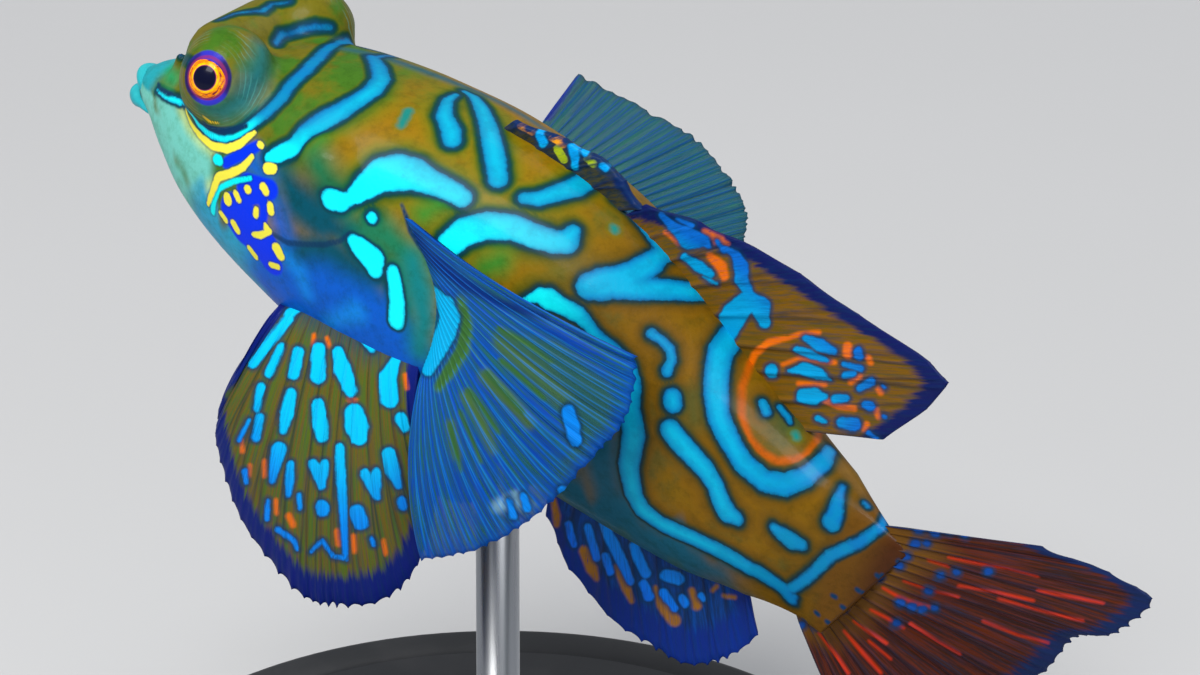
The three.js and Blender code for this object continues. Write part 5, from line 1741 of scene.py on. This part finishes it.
class FISH_OT_stand(bpy.types.Operator):
    """Builds the round base and the rod"""

    bl_idname = "fish.stand"
    bl_label = "Stand"

    def execute(self, context):
        r, h = settings().base_radius / MM, BASE_HEIGHT
        angles = np.radians(np.arange(90, -1, -10))
        bead = [(r + BEAD_RADIUS * (math.sin(a) - 1), h + BEAD_RADIUS * (math.cos(a) - 1)) for a in angles]
        wide, deep = GROOVE_HALF_WIDTH, GROOVE_DEPTH
        groove = [(r - GROOVE_AT + wide * k, h - deep * (1 - abs(k))) for k in (1, 0, -1)]
        profile = [(AXIS, 0.0), (r - FOOT_CHAMFER, 0.0), (r, FOOT_CHAMFER), *bead, *groove, (AXIS, h)]
        base = lathe_piece("base_disc", np.array(profile) * MM)
        wear(base, base_material(), "base", "stand_base")
        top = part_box("stand_rod")[1][2] / MM - ROD_TOP_GAP
        q = settings().rod_radius / MM
        inward, down = ROD_TOP_CHAMFER
        collar = [(AXIS, h + GAP), (q * COLLAR_WIDER, h + GAP), (q * COLLAR_WIDER, h + COLLAR_SIDE),
                  (q * COLLAR_TOP_WIDER, h + COLLAR_SHOULDER), (q, h + COLLAR_HEIGHT)]
        profile = [*collar, (q, top - down), (q - inward, top), (AXIS, top)]
        rod = lathe_piece("steel_rod", np.array(profile) * MM, 64)
        wear(rod, rod_material(), "rod", "stand_rod")
        return {"FINISHED"}


# The studio: each light's direction, distance and width in metres, power in watts and colour
LIGHTS = {
    "key": ((-0.15, -0.55, 1.0), 0.45, 0.22, 2.3, (1.0, 0.99, 0.97)),
    "fill": ((0.9, -0.9, 0.15), 0.5, 0.30, 0.9, (0.95, 0.97, 1.0)),
    "rim": ((0.3, 0.9, 0.8), 0.5, 0.34, 0.65, (1, 1, 1)),
}
LIGHTS_AIM = (0, 0, 0.036)
SKY_COLOUR = (0.86, 0.91, 1.0, 1)
SKY_STRENGTH = 0.32
FLOOR_REACH = 3.0


def area_light(name, towards, distance, width, watts, colour):
    """A soft square light aimed at the fish from a direction."""
    data = bpy.data.lights.new(name, "AREA")
    data.energy, data.size, data.color = watts, width, colour
    light = bpy.data.objects.new(name, data)
    away = np.array(towards, float) / np.linalg.norm(towards)
    side = np.cross([0, 0, 1.0], away)
    side /= np.linalg.norm(side)
    turn = Matrix(np.array([side, np.cross(away, side), away]).T.tolist()).to_4x4()
    light.matrix_world = Matrix.Translation((np.array(LIGHTS_AIM) + away * distance).tolist()) @ turn
    bpy.context.scene.collection.objects.link(light)


def photo_camera():
    """A camera that stands where the photograph's did, with its frame shifted to the photograph's."""
    data = bpy.data.cameras.new("photo camera")
    data.sensor_width = SENSOR
    data.lens = FOCAL_PIXELS / PHOTO_SIZE[0] * SENSOR
    data.shift_x = float(PHOTO_SIZE[0] / 2 - FOCUS_PIXEL[0]) / PHOTO_SIZE[0]
    data.shift_y = float(FOCUS_PIXEL[1] - PHOTO_SIZE[1] / 2) / PHOTO_SIZE[0]
    data.clip_start, data.clip_end = 0.01, 20
    camera = bpy.data.objects.new("photo camera", data)
    turn = Matrix(np.array([VIEW_RIGHT, VIEW_UP, VIEW_BACK]).T.tolist()).to_4x4()
    place = (pitched(FOCUS_POINT) + SET_DOWN + VIEW_BACK * CAMERA_DISTANCE) * MM
    camera.matrix_world = Matrix.Translation(place.tolist()) @ turn
    bpy.context.scene.collection.objects.link(camera)
    return camera


class FISH_OT_stage(bpy.types.Operator):
    """Builds the floor, the studio lights and the camera"""

    bl_idname = "fish.stage"
    bl_label = "Stage"

    def execute(self, context):
        scene = context.scene
        corners = [(x * FLOOR_REACH, y * FLOOR_REACH, 0) for x, y in ((-1, -1), (1, -1), (1, 1), (-1, 1))]
        floor = add_mesh("floor", corners, [(0, 1, 2, 3)])
        material, n, shader = new_material("floor paper", 0.8)
        tone = settings().floor_tone
        paper = n.mix(n.noise(20.0), (tone, tone, tone * 1.01), (tone * 0.97,) * 3)
        n.link(paper, shader.inputs["Base Color"])
        floor.data.materials.append(material)
        scene.world = scene.world or bpy.data.worlds.new("studio")
        scene.world.use_nodes = True
        sky = scene.world.node_tree.nodes["Background"].inputs
        sky["Color"].default_value = SKY_COLOUR
        sky["Strength"].default_value = SKY_STRENGTH
        for name, light in LIGHTS.items():
            area_light(name, *light)
        scene.view_settings.view_transform = "Standard"
        scene.camera = photo_camera()
        return {"FINISHED"}


OPERATORS = (
    FISH_OT_stage, FISH_OT_skin, FISH_OT_eyes, FISH_OT_lips, FISH_OT_paired_fins, FISH_OT_median_fins,
    FISH_OT_stand,
)


class FISH_PT_panel(bpy.types.Panel):
    """Lists the pieces of the fish"""

    bl_idname = "FISH_PT_panel"
    bl_label = "Mandarinfish"
    bl_space_type = "VIEW_3D"
    bl_region_type = "UI"
    bl_category = "Fish"

    def draw(self, context):
        for operator in OPERATORS:
            self.layout.operator(operator.bl_idname)


CLASSES = (FishSettings, *OPERATORS, FISH_PT_panel)


def register():
    """Adds the settings, the operators and the panel."""
    for cls in CLASSES:
        bpy.utils.register_class(cls)
    bpy.types.Scene.fish = PointerProperty(type=FishSettings)


def unregister():
    """Takes the settings, the operators and the panel away again."""
    del bpy.types.Scene.fish
    for cls in reversed(CLASSES):
        bpy.utils.unregister_class(cls)


def main():
    """Builds every piece in order."""
    register()
    for operator in OPERATORS:
        group, name = operator.bl_idname.split(".")
        getattr(getattr(bpy.ops, group), name)()


if __name__ == "__main__":
    main()
